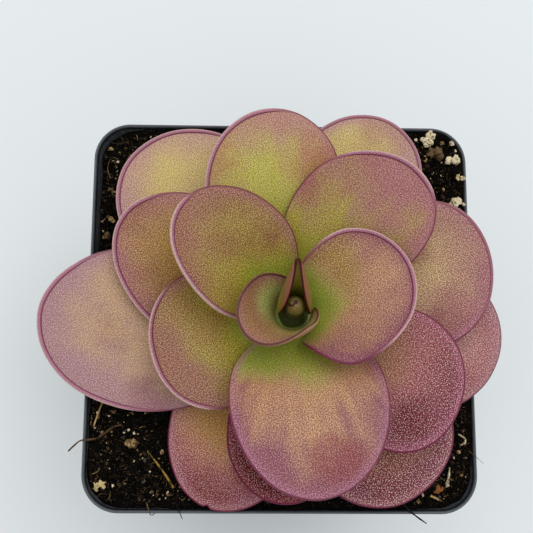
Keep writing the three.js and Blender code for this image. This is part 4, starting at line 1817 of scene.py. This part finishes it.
    def shreds(self, count: int, seed: int) -> Patch:
        """Strews short bent shreds of peat moss and root.

        Args:
            count: How many.
            seed: Chooses one of many such strewings.

        Returns:
            The shreds, with a tone of its own for each.
        """
        draws = np.random.default_rng(seed)
        template = tube(np.linspace((-1.0, 0, 0), (1.0, 0, 0), 6), np.full(6, 1.0), 4)
        along = template.points[:, 0] * (np.abs(template.points[:, 0]) <= 1)
        spots = self.spots(count, draws)
        half = lerp(0.3, 1.2, draws.random(count) ** 2)[:, None]
        thick = lerp(0.03, 0.08, draws.random(count) ** 2)[:, None]
        bend = draws.normal(0, 0.35, (count, 1)) * half
        x = half * along
        y = bend * along**2 + thick * template.points[:, 1]
        lean = draws.normal(0, 0.25, (count, 1))
        turned = draws.uniform(0, np.pi, (count, 1))
        places = abreast(
            spots[:, :1] + x * np.cos(turned) - y * np.sin(turned),
            spots[:, 1:] + x * np.sin(turned) + y * np.cos(turned),
            0.0,
        )
        limit = self.pot.rim_width / 2 - self.pot.rim_wall - self.gap - 0.1
        places[..., :2] = np.clip(places[..., :2], -limit, limit)
        ground = self.height(places[..., 0], places[..., 1])
        places[..., 2] = ground + 0.18 + lean * x + thick * template.points[:, 2]
        patch = copies(template, places)
        patch.values["tone"] = np.repeat(0.1 + 0.8 * draws.random(count) ** 1.5, len(template.points))
        return patch

    def chunk_shape(self, chunk: Chunk) -> Patch:
        """Builds one larger chunk: overlapping lumps, each pushed in and out by noise.

        Args:
            chunk: Its place and size.

        Returns:
            The lumps, low enough to stay near the rim.
        """
        draws = np.random.default_rng(chunk.seed)
        ground = float(self.height(np.array([chunk.x]), np.array([chunk.y]))[0])
        level = ground + 0.45 * chunk.size * chunk.flatness
        level = min(level, self.pot.height + self.PROUD - 1.3 * chunk.size * chunk.flatness)
        parts = []
        for lump in range(chunk.lumps):
            part = ball(9, 14)
            share = 1.0 if chunk.lumps == 1 else draws.uniform(0.42, 0.66)
            away = draws.normal(0, 1, 3) * (0.0 if lump == 0 else 1.0)
            away *= 0.68 * chunk.size / max(np.linalg.norm(away), 1e-9)
            rough = 0.42 * layered_noise(part.points + chunk.seed + 3 * lump, 0.8, chunk.seed, 3)
            spread = part.points * (1 + rough)[:, None] * draws.uniform(0.75, 1.2, 3)
            body = spread * share * chunk.size + away
            part.points = body * (1, 1, chunk.flatness) + (chunk.x, chunk.y, level)
            parts.append(part)
        return joined(parts)

    def fibre_shape(self, fibre: Fibre) -> Patch:
        """Builds one fibre.

        Args:
            fibre: Its bends, whose low heights count from the surface and high ones from the
                pot's base, and its radius at either end.

        Returns:
            The fibre as a tube with slight swellings.
        """
        bends = np.array(fibre.bends, float)
        ground = self.height(bends[:, 0], bends[:, 1])
        bends[:, 2] += np.where(bends[:, 2] > self.FIXED_HEIGHT, 0, ground)
        path = smooth_path(bends, 6)
        share = np.linspace(0, 1, len(path))
        radius = lerp(fibre.start, fibre.end, share) * (1 + 0.2 * np.sin(19 * share))
        return tube(path, radius, 6)

    def build(self) -> None:
        """Builds and dresses the mix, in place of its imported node, and what lies on it."""
        peat = PeatFinish().material("peat")
        husk = PeatFinish(Hue.HUMUS, Hue.CHIP).material("peat_husk")
        straw = ChunkFinish(Hue.CREAM, 1500.0).material("mix_speck")
        dress(write_mesh("mix_block", self.block()), peat, ("soil",))
        loose = {
            "crumbs": (self.strewn(*self.CRUMBS), peat),
            "husks": (self.strewn(*self.HUSKS), husk),
            "specks": (self.strewn(*self.SPECKS), straw),
            "shreds": (self.shreds(*self.SHREDS), husk),
        }
        for name, (patch, finish) in loose.items():
            dress(write_mesh(f"mix_{name}", patch, smooth=False), finish)
        for colour, chunks in self.chunks.items():
            pits = self.FLAKE_PITS if colour is Hue.FLAKE else self.CHUNK_PITS
            finish = ChunkFinish(colour, pits=pits)
            self.add_bits("mix", finish, [self.chunk_shape(chunk) for chunk in chunks])
        for colour, fibres in self.fibres.items():
            finish = ChunkFinish(colour, self.FIBRE_GRAIN)
            shapes = [self.fibre_shape(fibre) for fibre in fibres]
            self.add_bits("fibres", finish, shapes, smooth=True)

    def add_bits(
        self, group: str, finish: ChunkFinish, shapes: list[Patch], smooth: bool = False
    ) -> None:
        """Puts the larger bits of one colour into one piece and dresses it.

        Args:
            group: What the piece's name starts with. The colour's name follows it.
            finish: Their finish.
            shapes: The bits.
            smooth: Whether they are shaded smooth.
        """
        name = f"{group}_{finish.base.name.lower()}"
        piece = write_mesh(name, joined(shapes), smooth)
        dress(piece, finish.material(f"{name}_finish"))


# Larger pieces in the mix, by colour: seed, x, y, size, height next to width, and lumps.
CHUNK_TABLE = {
    Hue.PERLITE: (
        (1, 30.3, 35.9, 1.45, 0.7, 8), (2, 27.8, 36.0, 0.58, 0.7, 2), (8, 35.3, 31.5, 1.3, 0.7, 8),
        (10, 35.9, 33.7, 0.29, 0.7, 1), (12, 36.8, 27.4, 0.7, 0.8, 3), (13, 35.4, 22.5, 1.25, 0.6, 7),
        (14, 37.1, 22.4, 0.6, 0.6, 2), (17, -33.3, 31.1, 0.48, 0.7, 2), (18, -33.4, 28.8, 0.39, 0.7, 1),
        (23, -35.5, -19.7, 0.39, 0.7, 2), (26, -29.4, -23.0, 0.24, 0.8, 1),
        (27, -28.4, -23.6, 0.24, 0.8, 1), (33, -25.1, -30.9, 0.24, 0.8, 1),
        (38, -32.1, -33.5, 0.29, 0.7, 1), (39, -21.6, -34.8, 0.29, 0.7, 1),
    ),
    Hue.CREAM: (
        (3, 30.9, 37.6, 0.5, 0.5, 1), (9, 35.2, 35.4, 0.7, 0.7, 3), (42, 27.5, -35.0, 0.39, 0.7, 2),
        (44, 32.2, -32.9, 0.6, 0.6, 3),
    ),
    Hue.BARK: (
        (4, 31.9, 33.4, 1.5, 0.7, 7), (7, 33.2, 35.4, 0.58, 0.4, 1), (19, -34.9, 25.2, 0.9, 0.8, 4),
        (21, -35.2, 15.4, 0.8, 0.8, 4), (24, -32.6, -19.6, 0.58, 0.6, 3),
        (29, -28.8, -25.5, 0.95, 0.9, 6), (37, -34.6, -32.3, 0.3, 0.7, 2),
    ),
    Hue.HONEY: ((5, 31.8, 33.0, 1.1, 1.25, 3),),
    Hue.CHIP: (
        (6, 29.7, 32.2, 0.58, 0.4, 1), (15, 33.3, 25.6, 0.39, 0.6, 1), (16, -35.0, 33.9, 0.58, 0.6, 2),
        (20, -34.0, 18.6, 0.87, 0.5, 3), (25, -34.6, -23.6, 0.39, 0.7, 2),
        (28, -29.0, -25.2, 0.95, 0.9, 5), (30, -22.9, -27.3, 0.58, 0.7, 3),
        (43, 34.6, -26.9, 0.34, 0.6, 1),
    ),
    Hue.FLAKE: (
        (11, 35.8, 27.7, 0.7, 0.8, 3), (34, -35.2, -33.7, 0.68, 0.45, 6),
        (35, -34.1, -33.5, 0.8, 0.45, 7), (36, -33.3, -33.2, 0.6, 0.45, 4),
    ),
    Hue.RESIN: ((22, -37.5, 13.2, 0.42, 0.8, 2), (41, 30.7, -34.0, 0.85, 0.6, 5)),
    Hue.DUST: (
        (31, -26.2, -28.8, 0.34, 0.8, 1), (32, -26.0, -32.6, 0.48, 0.8, 2),
        (40, -24.8, -36.2, 0.39, 0.7, 2), (45, 30.8, -35.4, 0.29, 0.7, 1),
    ),
}
CHUNKS = {colour: tuple(Chunk(*row) for row in rows) for colour, rows in CHUNK_TABLE.items()}

# Fibres by colour, each with its radius at either end and its bends.
FIBRE_TABLE = {
    Hue.ROOT: (
        (0.15, 0.26, (-40.6, -27.0, 69.5), (-39.4, -25.9, 70.1), (-38.2, -25.0, 70.3),
         (-36.6, -24.8, 70.1), (-35.1, -24.5, 69.7), (-33.7, -23.4, 0.6), (-32.4, -22.4, 0.4),
         (-30.9, -22.0, 0.2)),
    ),
    Hue.CHIP: (
        (0.2, 0.14, (-34.6, -17.6, 0.3), (-35.3, -20.2, 0.9), (-36.0, -22.6, 0.6)),
        (0.26, 0.2, (28.9, -35.1, 0.5), (30.0, -35.6, 0.7), (31.1, -36.1, 0.4)),
    ),
    Hue.GOLD: (
        (0.14, 0.26, (-25.7, -27.0, 0.6), (-24.0, -29.0, 0.8), (-22.3, -31.2, 0.8),
         (-20.4, -33.8, 0.5)),
    ),
    Hue.CREAM: (
        (0.16, 0.22, (34.6, -23.5, 0.2), (35.5, -24.2, 0.9), (35.6, -25.0, 0.9),
         (35.0, -25.5, 0.2)),
        (0.13, 0.32, (32.8, -29.8, 0.6), (32.5, -31.4, 0.9), (32.2, -33.2, 0.8)),
    ),
    Hue.BARK: (
        (0.05, 0.03, (36.4, -26.6, 0.5), (38.1, -28.1, 70.3), (39.3, -29.1, 69.8)),
        (0.12, 0.06, (-25.4, -36.6, 0.4), (-24.5, -38.6, 70.3), (-23.6, -38.4, 70.2)),
        (0.14, 0.08, (-34.8, 27.5, 0.4), (-35.5, 29.5, 0.9), (-35.2, 31.4, 0.3)),
    ),
    Hue.PEAT: (
        (0.26, 0.13, (23.2, -36.3, 0.4), (25.2, -38.3, 70.3), (27.9, -40.2, 69.5)),
        (0.12, 0.07, (-20.0, -36.4, 0.3), (-19.1, -38.1, 70.3), (-18.5, -39.5, 69.6)),
    ),
    Hue.HUMUS: (
        (0.1, 0.07, (-31.5, 35.3, 0.3), (-33.2, 34.8, 0.8), (-34.6, 35.0, 0.3)),
    ),
}
FIBRES = {colour: tuple(Fibre.through(*row) for row in rows) for colour, rows in FIBRE_TABLE.items()}


# ---------- crown and bud
@dataclass(frozen=True)
class Crown:
    """The short stem that carries the leaves: a lathe shape ringed by old leaf scars."""

    sides: int = 56
    levels: int = 72

    def build(self) -> None:
        """Builds and dresses the stem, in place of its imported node."""
        height = lerp(CROWN_FOOT, CROWN_TOP, np.linspace(0, 1, self.levels) ** 0.9)[:-1]
        outline = np.array(CROWN_PROFILE)
        radius = np.interp(height, outline[:, 1], outline[:, 0])[:, None]
        turned = once_round(self.sides)
        # Scars climb the stem in a shallow spiral.
        scars = np.sin(5.2 * height[:, None] + 2 * turned)
        radius = np.minimum(radius, CROWN_RADIUS - 0.1) + 0.08 * scars * np.minimum(radius / 2, 1)
        x, y = CROWN_X + radius * np.cos(turned), CROWN_Y + radius * np.sin(turned)
        shell = lathe_like(abreast(x, y, height[:, None]))
        out = np.hypot(*(shell.points[:, :2] - (CROWN_X, CROWN_Y)).T)
        # Painted shade: the middle of the top, down in the well round the bud, takes the body's dark
        # green; the rest takes the bright foot green.
        shell.values["green"] = ease(out, 2.6, 3.3)
        skin = ShootFinish(Hue.PAINTED_SHADE_GREEN, Hue.SPROUT, dots=0.04)
        finish = skin.material("crown_skin")
        dress(write_mesh("crown_stem", shell), finish, ("crown",))


@dataclass(frozen=True)
class Bud:
    """The youngest leaf, still rolled up: a pointed knob whose sheet overlaps itself once round.

    The radius follows cos(latitude) ** 0.8 and grows by the share step once round, so that the
    sheet's free margin stands out as a ridge that winds up to the point.
    """

    radius: float = 2.0
    height: float = 7.6
    step: float = 0.14
    twist: float = 250.0
    lean: float = -0.8
    foot_latitude: float = -49.0
    point_latitude: float = 83.0
    around: int = 96
    levels: int = 60

    def shape(self) -> Patch:
        """Builds the knob.

        Returns:
            The knob, closed at its foot and its point, with its green and its dark line.
        """
        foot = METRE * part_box("bud")[0].z
        share = np.linspace(0, 1, self.levels + 1)[:, None]
        latitude = np.radians(lerp(self.foot_latitude, self.point_latitude, share))
        low, high = (math.sin(math.radians(a)) for a in (self.foot_latitude, self.point_latitude))
        radius = self.radius * np.cos(latitude) ** 0.8
        height = foot + self.height * (np.sin(latitude) - low) / (high - low)
        turn = np.linspace(0, 1, self.around)[None]
        turned = 2 * np.pi * turn + np.radians(self.twist) * share
        # The sheet thins to a rounded margin over the last few degrees.
        lip = 1 - ease(turn, 0.975, 1.0) * 0.5
        reach = radius * (1 - self.step * (1 - turn) * lip - self.step * (1 - lip))
        x = CROWN_X + reach * np.cos(turned)
        y = CROWN_Y - self.lean * share + reach * np.sin(turned)
        patch = lathe_like(abreast(x, y, height))
        near = bell(turn, 1.0, 0.07) + bell(turn, 0.0, 0.03) + 0 * share
        values = {
            "line": np.clip(1.4 * near * ease(share, 0.66, 0.8) + ease(share, 0.976, 0.99), 0, 1),
            # The lower part takes the dark green: the young leaf's own green, darkened as painted shade
            # down in the well.
            "green": 1 - ease(share + 0.1 * turn, 0.45, 0.75),
        }
        for name, mask in values.items():
            patch.values[name] = np.append(mask.ravel(), (mask[0, 0], mask[-1, 0]))
        return patch

    def build(self) -> None:
        """Builds and dresses the bud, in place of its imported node."""
        finish = ShootFinish(Hue.OLIVE, Hue.PAINTED_SHADE_GREEN).material("bud_skin")
        dress(write_mesh("bud_scroll", self.shape()), finish, ("bud",))


# ---------- glands
@dataclass(frozen=True)
class Dew:
    """Stalked glands with beads of slime, strewn over the upper faces of a group of leaves.

    A bead's outline is given as radius and height in units of the bead's own radius.
    """

    name: str
    slot: str
    tint: Hue
    leaves: tuple[Leaf, ...]
    on_one_leaf: int = 420
    smallest: float = 0.045
    largest: float = 0.1

    # Beads keep this far from the crown, the side margins and the tip.
    CROWN_MARGIN, SIDE_MARGIN, TIP_MARGIN = 3.5, 1.6, 1.8
    # How far a stalk's foot is sunk in, and how far its direction strays from upright.
    SUNK, STRAY = 0.03, 0.12
    OUTLINE = ((0.26, 0.0), (0.18, 1.0), (0.95, 1.75), (0.6, 2.7))
    SIDES = 5

    def bead(self) -> Patch:
        """Builds one stalked bead of radius 1.

        Returns:
            The bead, standing on the ground.
        """
        turned = once_round(self.SIDES)
        radius, height = np.array(self.OUTLINE).T[:, :, None]
        return lathe_like(abreast(radius * np.cos(turned), radius * np.sin(turned), height))

    def on_leaf(self, leaf: Leaf) -> Patch:
        """Stands the beads of one leaf square to its upper face, at random places.

        Args:
            leaf: The leaf.

        Returns:
            Its beads.
        """
        draws = np.random.default_rng(leaf.seed)
        wanted = int(self.on_one_leaf * leaf.dew)
        x = draws.uniform(self.CROWN_MARGIN, leaf.length, 6 * wanted)
        y = draws.uniform(-0.5, 0.5, 6 * wanted) * leaf.width
        room = leaf.half_width(x) - self.SIDE_MARGIN
        kept = (np.abs(y) < room) & (x < leaf.length - self.TIP_MARGIN)
        x, y = x[kept][:wanted], y[kept][:wanted]
        share = np.abs(y) / np.maximum(leaf.half_width(x), 1e-3)
        edge = leaf.edge_thickness(np.zeros_like(x))
        lift = leaf.thickness(x, share, edge) / 2 + leaf.relief(x, y, True) - self.SUNK
        foot = leaf.place(x, y, lift)
        up = unit(leaf.place(x, y, lift + 0.2) - foot)
        up = unit(up + draws.normal(scale=self.STRAY, size=up.shape))
        aside = unit(np.cross(up, (0.3, 1.0, 0.1)))
        along = np.cross(up, aside)
        size = lerp(self.smallest, self.largest, draws.random(len(x)) ** 2)
        bead = self.bead()
        axes = np.stack([aside, along, up], axis=1) * size[:, None, None]
        return copies(bead, foot[:, None] + np.einsum("pi,nij->npj", bead.points, axes))

    def build(self) -> None:
        """Builds and dresses the beads of the whole group."""
        beads = joined([self.on_leaf(leaf) for leaf in self.leaves])
        finish = DewFinish(self.tint).material(f"{self.name}_finish")
        dress(write_mesh(self.name, beads), finish)


# ---------- the plant
# The numbers after a leaf's name are azimuth, length, width, fullness, rise, end, foot, bend,
# roll and cup. A LeafFinish starts with the colours foot, body, flush, deep, edge and back, and a
# Patchwork with green, rim, veil, tip, side, base and blots.
LEAVES = (
    Leaf(
        "leaf_01", 90, 16.5, 12.5, 0.85, 78, 63, 77.8, 0, 0, 0,
        LeafFinish(
            Hue.SPRING, Hue.CITRON, Hue.RUST, Hue.GARNET, Hue.GARNET, Hue.OLIVE, gloss=0.15,
            line=Hue.CLARET,
        ),
        Patchwork(0.6, 0.8, 1.0, 0.1, 0.0, 0.0, line=1.0, fringe=0.45),
        start=2.1, neck=1, furl=(95, 138, 161), point=0.3, slim=0.6, slot="leaf_olive", dew=0,
    ),
    Leaf(
        "leaf_02", 212.7, 15.7, 21.8, 0.76, 80, 45.9, 76.5, 0.2, 18.2, 94.2,
        LeafFinish(
            Hue.SPROUT, Hue.STRAW, Hue.HONEY, Hue.SPROUT, contrast=1.3, gloss=0.25, line=Hue.CLARET,
        ),
        Patchwork(
            0.2, 0.1, 7.1, 0.65, -0.33, 0.42, ((4.8, -5.8, 10.2, 0.77), (6.6, 7.8, 5.3, 0.98)),
            line=1.0, line_end=1.6, fringe=0.7,
        ),
        start=3.5, neck=1.1, wrap=170.6, hem=Hem(30, 330, 0.1), slot="leaf_olive", dew=0.05,
    ),
    Leaf(
        "leaf_03", 6, 22.5, 27.5, 0.8, 52.5, 8, 76.6, 2, -14, 27,
        LeafFinish(Hue.FRESH, Hue.APRICOT, Hue.MAUVE, Hue.GOLD, contrast=1.35),
        Patchwork(0.32, 0.42, 1.7, 0.0, -0.04, 0.42, ((6.8, 7.2, 12, 0.78),), streak=0.08),
        neck=0.8, wrap=130, hem=Hem(75, 235, 0.8), slot="leaf_olive", dew=0.15,
    ),
    Leaf(
        "leaf_04", 137, 29.5, 22.5, 1.05, 51, 12.5, 74.7, 0.5, 10.5, 17,
        LeafFinish(Hue.GRASS, Hue.LIME, Hue.RUST, Hue.UMBER, contrast=1.45),
        Patchwork(
            0.35, 0.23, 1.6, 0.31, 0.02, 0.44, ((13, -4.5, 11.9, 0.52), (20.2, -3.4, 12, 0.41)),
        ),
        neck=0.8, wrap=44, hem=Hem(25, 185, 1.0), slot="leaf_olive", dew=0.1,
    ),
    Leaf(
        "leaf_05", 278.5, 34.5, 28.5, 1, 49, 1.5, 75.4, -0.5, -5, 9.5,
        LeafFinish(Hue.FRESH, Hue.APRICOT, Hue.MAUVE, Hue.GARNET, contrast=1.4),
        Patchwork(
            0.4, 0.59, 7.7, 0.48, -0.04, 0.0, ((28.8, 3.4, 8.5, 0.72), (11.6, -6.5, 12, 0.35)),
            fringe=0.8, streak=0.22,
        ),
        neck=1, dew=0.7,
    ),
    Leaf(
        "leaf_06", 57.5, 34, 25.5, 1.3, 37, 9.5, 73.8, -3, -3, 2.5,
        LeafFinish(Hue.SPRING, Hue.LIME, Hue.ROSE, Hue.GARNET, contrast=1.2),
        Patchwork(
            0.42, 0.11, 1.5, 0.3, -0.22, 0.45, ((21.6, 11.5, 12, 0.64), (27.5, 6.5, 11.9, 0.42)),
            streak=0.08,
        ),
        hem=Hem(130, 215, 1.0), slot="leaf_olive", dew=0.4,
    ),
    Leaf(
        "leaf_07", 198.5, 26, 26, 1.25, 31.5, 4, 73.2, 0.5, 1, 6,
        LeafFinish(Hue.FRESH, Hue.LIME, Hue.RUST, Hue.GOLD, contrast=1.5),
        Patchwork(
            0.34, 0.39, 5.2, 0.73, 0.09, 0.14, ((18.7, -7, 8.4, 0.59), (13.8, -2, 10.5, 0.67)),
        ),
        hem=Hem(110, 240, 1.0), slot="leaf_olive", dew=0.25,
    ),
    Leaf(
        "leaf_08", 329.5, 33.5, 26, 1.5, 28.5, 3.5, 72.7, -2, -3, 4,
        LeafFinish(
            Hue.HONEY, Hue.ROSE, Hue.MULBERRY, Hue.WINE, contrast=2.0, glint_highlight=0.6, net=RED_NET,
            gloss=0.15,
        ),
        Patchwork(
            0.6, 0.5, 5.5, 0.49, -0.35, 0.03, ((27.0, -6.4, 9.0, 0.85), (26, 8, 11.1, 0.36)),
            fringe=0.8,
        ),
        slot="leaf_maroon", dew=1.4,
    ),
    Leaf(
        "leaf_09", 100, 37.5, 27, 1.2, 29.5, 4.5, 72.3, -1, 1, 2,
        LeafFinish(Hue.SPRING, Hue.CITRON, Hue.PEACH, Hue.COPPER),
        Patchwork(
            0.54, 0.37, 5.0, 0.29, -0.15, 0.19, ((30.7, 9.8, 11.1, 0.46), (24.3, -8.8, 12, 0.54)),
            streak=0.08,
        ),
        hem=Hem(40, 190, 0.9), slot="leaf_olive", dew=0.4,
    ),
    Leaf(
        "leaf_10", 263.5, 33, 20.5, 1.45, 24.5, 2.5, 71.7, 1.5, 1.5, 2,
        LeafFinish(
            Hue.WINE, Hue.WINE, Hue.GARNET, Hue.OXBLOOD, Hue.MAUVE, contrast=2.0, glint_highlight=0.5,
            net=RED_NET, gloss=0.1,
        ),
        Patchwork(
            0.21, 0.41, 1.5, 0.26, 0.3, 0.03, ((30.8, -9.8, 11.8, 0.84), (29.3, -3.1, 6.8, 0.68)),
            fringe=0.8,
        ),
        slot="leaf_maroon", dew=1.3,
    ),
    Leaf(
        "leaf_11", 15, 37.5, 28, 1.55, 23, -1, 71.2, 2, 2, 4.5,
        LeafFinish(Hue.LIME, Hue.SAND, Hue.ROSE, Hue.GARNET, contrast=1.5, glint_highlight=0.3),
        Patchwork(
            0.54, 0.43, 7.7, 0.36, -0.21, 0.11, ((25.6, -10.7, 11.8, 0.51), (22.9, 5.6, 7.3, 0.55)),
            fringe=0.8,
        ),
        hem=Hem(120, 230, 0.4), dew=1.3,
    ),
    Leaf(
        "leaf_12", 156.5, 35.5, 28, 0.85, 24, 2, 71, -2, 0, 0.5,
        LeafFinish(Hue.LIME, Hue.AMBER, Hue.ROSE, Hue.UMBER, contrast=1.45),
        Patchwork(0.4, 0.6, 6.3, 0.22, 0.09, 0.0, ((24.1, 7, 10.6, 0.41), (33.9, -7.9, 12, 0.49))),
        hem=Hem(40, 215, 0.9), slot="leaf_olive", dew=0.3,
    ),
    Leaf(
        "leaf_13", 306.5, 38.5, 28, 1.5, 19, -2.5, 70.2, 0, 0, 3,
        LeafFinish(
            Hue.RUST, Hue.RUST, Hue.MULBERRY, Hue.WINE, Hue.LILAC, contrast=2.1, glint_highlight=0.8,
            net=RED_NET, gloss=0.15,
        ),
        Patchwork(
            0.66, 1.1, 5.2, 0.1, -0.06, 0.05, ((33.2, -3.1, 7.9, 0.51), (32.4, -7.1, 6.8, 0.55)),
            fringe=0.8,
        ),
        slot="leaf_maroon", dew=1.5,
    ),
    Leaf(
        "leaf_14", 65.5, 41, 26.5, 1.3, 17.5, -1, 69.7, -1, -1, 0.5,
        LeafFinish(Hue.LIME, Hue.STRAW, Hue.BLUSH, Hue.HONEY),
        Patchwork(0.7, 0.72, 2.4, 0.19, -0.32, 0.16, ((36.4, -0.9, 12, 0.48),)),
        hem=Hem(60, 260, 0.5), dew=0.6,
    ),
    Leaf(
        "leaf_15", 187.5, 46, 32, 1.1, 17, -2.5, 69.4, -3, -4.5, -2,
        LeafFinish(Hue.LIME, Hue.SAND, Hue.LILAC, Hue.MULBERRY, contrast=0.85),
        Patchwork(
            0.29, 0.41, 4.5, 0.44, 0.06, 0.19, ((30.4, 1.4, 9.9, 0.36), (27.1, 13.7, 12, 0.58)),
        ),
        hem=Hem(100, 240, 0.8), dew=1.2,
    ),
    Leaf(
        "leaf_16", 350.5, 38.5, 29, 1.35, 14, -3.5, 68.7, 1, 0, 0.5,
        LeafFinish(
            Hue.PEACH, Hue.ROSE, Hue.LILAC, Hue.BLUSH, Hue.LILAC, contrast=1.8, glint_highlight=0.5,
            net=RED_NET, gloss=0.25,
        ),
        Patchwork(
            0.58, 0.49, 1.5, 0.29, 0.35, 0.0, ((33.7, -2.3, 8.1, 0.47), (31.6, 0, 7.8, 0.7)),
            fringe=0.8,
        ),
        dew=1.4,
    ),
    Leaf(
        "leaf_17", 128, 43, 31.5, 1.25, 12.5, -4, 68.2, 2, 1.5, 0.5,
        LeafFinish(Hue.LIME, Hue.STRAW, Hue.BLUSH, Hue.BRICK, contrast=0.95),
        Patchwork(0.44, 0.59, 4.9, -0.1, 0.17, 0.32, ((28.8, -9.7, 10.9, 0.53),)),
        hem=Hem(50, 240, 0.8), dew=0.6,
    ),
    Leaf(
        "leaf_18", 243.5, 37, 26.5, 1.05, 13, -4.5, 68.1, 1, 0, 0,
        LeafFinish(
            Hue.AMBER, Hue.APRICOT, Hue.MAUVE, Hue.MAHOGANY, Hue.LILAC, contrast=1.6, glint_highlight=0.45,
            net=RED_NET, gloss=0.15,
        ),
        Patchwork(
            0.74, 0.35, 6.3, 0.45, 0.12, 0.14, ((34.1, -0.6, 10.5, 0.53), (26.9, 4.1, 7, 0.74)),
            fringe=0.8,
        ),
        slot="leaf_maroon", notches=(Notch(176, 0.5, 2.2),), dew=1.2,
    ),
)

DEW_TINTS = {
    "leaf_olive": Hue.CREAM,
    "leaf_rose": Hue.LILAC,
    "leaf_maroon": Hue.LILAC,
}


@dataclass(frozen=True)
class Butterwort:
    """The plant: crown, bud, eighteen leaves and the glands on them."""

    leaves: tuple[Leaf, ...] = LEAVES
    crown: Crown = Crown()
    bud: Bud = Bud()

    def build(self) -> None:
        """Builds every piece of the plant."""
        self.crown.build()
        self.bud.build()
        for leaf in self.leaves:
            leaf.build()
        for slot, tint in DEW_TINTS.items():
            group = tuple(leaf for leaf in self.leaves if leaf.slot == slot)
            Dew(slot.replace("leaf", "dew"), slot, tint, group).build()


# ---------- studio
@dataclass(frozen=True)
class Studio:
    """A pale floor, soft light from above and a camera that looks steeply down."""

    focal_length: float = 57.03
    sensor_width: float = 36.0
    place: tuple[float, float, float] = (-6.8, -20.1, 235.7)
    pitch: float = 10.0
    yaw: float = 0.55
    tilt: float = -1.44
    floor_half: float = 3000.0
    sky: float = 0.72
    softbox: float = 7.5

    # Colours in linear light. The softbox's sizes, place and aim are in metres.
    PAPER = (0.82, 0.86, 0.88, 1.0)
    SKY_COLOUR = (0.97, 0.99, 1.0, 1.0)
    LAMP_COLOUR = (1.0, 0.985, 0.96)
    LAMP_SIZES = (1.3, 0.9)
    LAMP_PLACE = (0.22, 0.45, 1.35)
    LAMP_AIM = (0.0, 0.0, 0.07)

    def build(self) -> None:
        """Sets the scene up round the finished pieces."""
        self.add_floor()
        self.add_lights()
        self.add_camera()
        bpy.context.scene.view_settings.view_transform = "Standard"

    def add_floor(self) -> None:
        """Adds the plain floor that the pot stands on."""
        half = self.floor_half
        corners = np.array([(-half, -half, 0), (half, -half, 0), (half, half, 0), (-half, half, 0)])
        floor = write_mesh("studio_floor", Patch(corners.astype(float), np.array([[0, 1, 2, 3]])))
        paper = bpy.data.materials.new("studio_paper")
        paper.use_nodes = True
        shader = paper.node_tree.nodes["Principled BSDF"]
        shader.inputs["Base Color"].default_value = self.PAPER
        shader.inputs["Roughness"].default_value = 0.95
        shader.inputs["Specular IOR Level"].default_value = 0.1
        floor.data.materials.append(paper)

    def add_lights(self) -> None:
        """Adds an even pale sky and one broad softbox above and behind the plant."""
        scene = bpy.context.scene
        world = bpy.data.worlds.new("studio_sky")
        world.use_nodes = True
        sky = world.node_tree.nodes["Background"]
        sky.inputs["Color"].default_value = self.SKY_COLOUR
        sky.inputs["Strength"].default_value = self.sky
        scene.world = world
        lamp = bpy.data.lights.new("studio_softbox", "AREA")
        lamp.shape = "RECTANGLE"
        lamp.size, lamp.size_y = self.LAMP_SIZES
        lamp.energy = self.softbox
        lamp.color = self.LAMP_COLOUR
        holder = bpy.data.objects.new("studio_softbox", lamp)
        spot = Vector(self.LAMP_PLACE)
        aim = (Vector(self.LAMP_AIM) - spot).to_track_quat("-Z", "Y")
        holder.matrix_world = Matrix.Translation(spot) @ aim.to_matrix().to_4x4()
        scene.collection.objects.link(holder)

    def add_camera(self) -> None:
        """Adds the camera."""
        lens = bpy.data.cameras.new("studio_camera")
        lens.lens = self.focal_length
        lens.sensor_width = self.sensor_width
        lens.clip_start = 0.01
        camera = bpy.data.objects.new("studio_camera", lens)
        turned = (
            Matrix.Rotation(math.radians(self.yaw), 4, "Z")
            @ Matrix.Rotation(math.radians(self.pitch), 4, "X")
            @ Matrix.Rotation(math.radians(self.tilt), 4, "Y")
        )
        camera.matrix_world = Matrix.Translation(Vector(self.place) / METRE) @ turned
        bpy.context.scene.collection.objects.link(camera)
        bpy.context.scene.camera = camera


def main() -> None:
    """Builds the pot, the mix, the plant and the studio."""
    logging.basicConfig(level=logging.INFO, format="%(name)s: %(message)s")
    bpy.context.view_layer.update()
    pot = NurseryPot()
    pot.build()
    PottingMix(pot, CHUNKS, FIBRES).build()
    Butterwort().build()
    Studio().build()


if __name__ == "__main__":
    main()
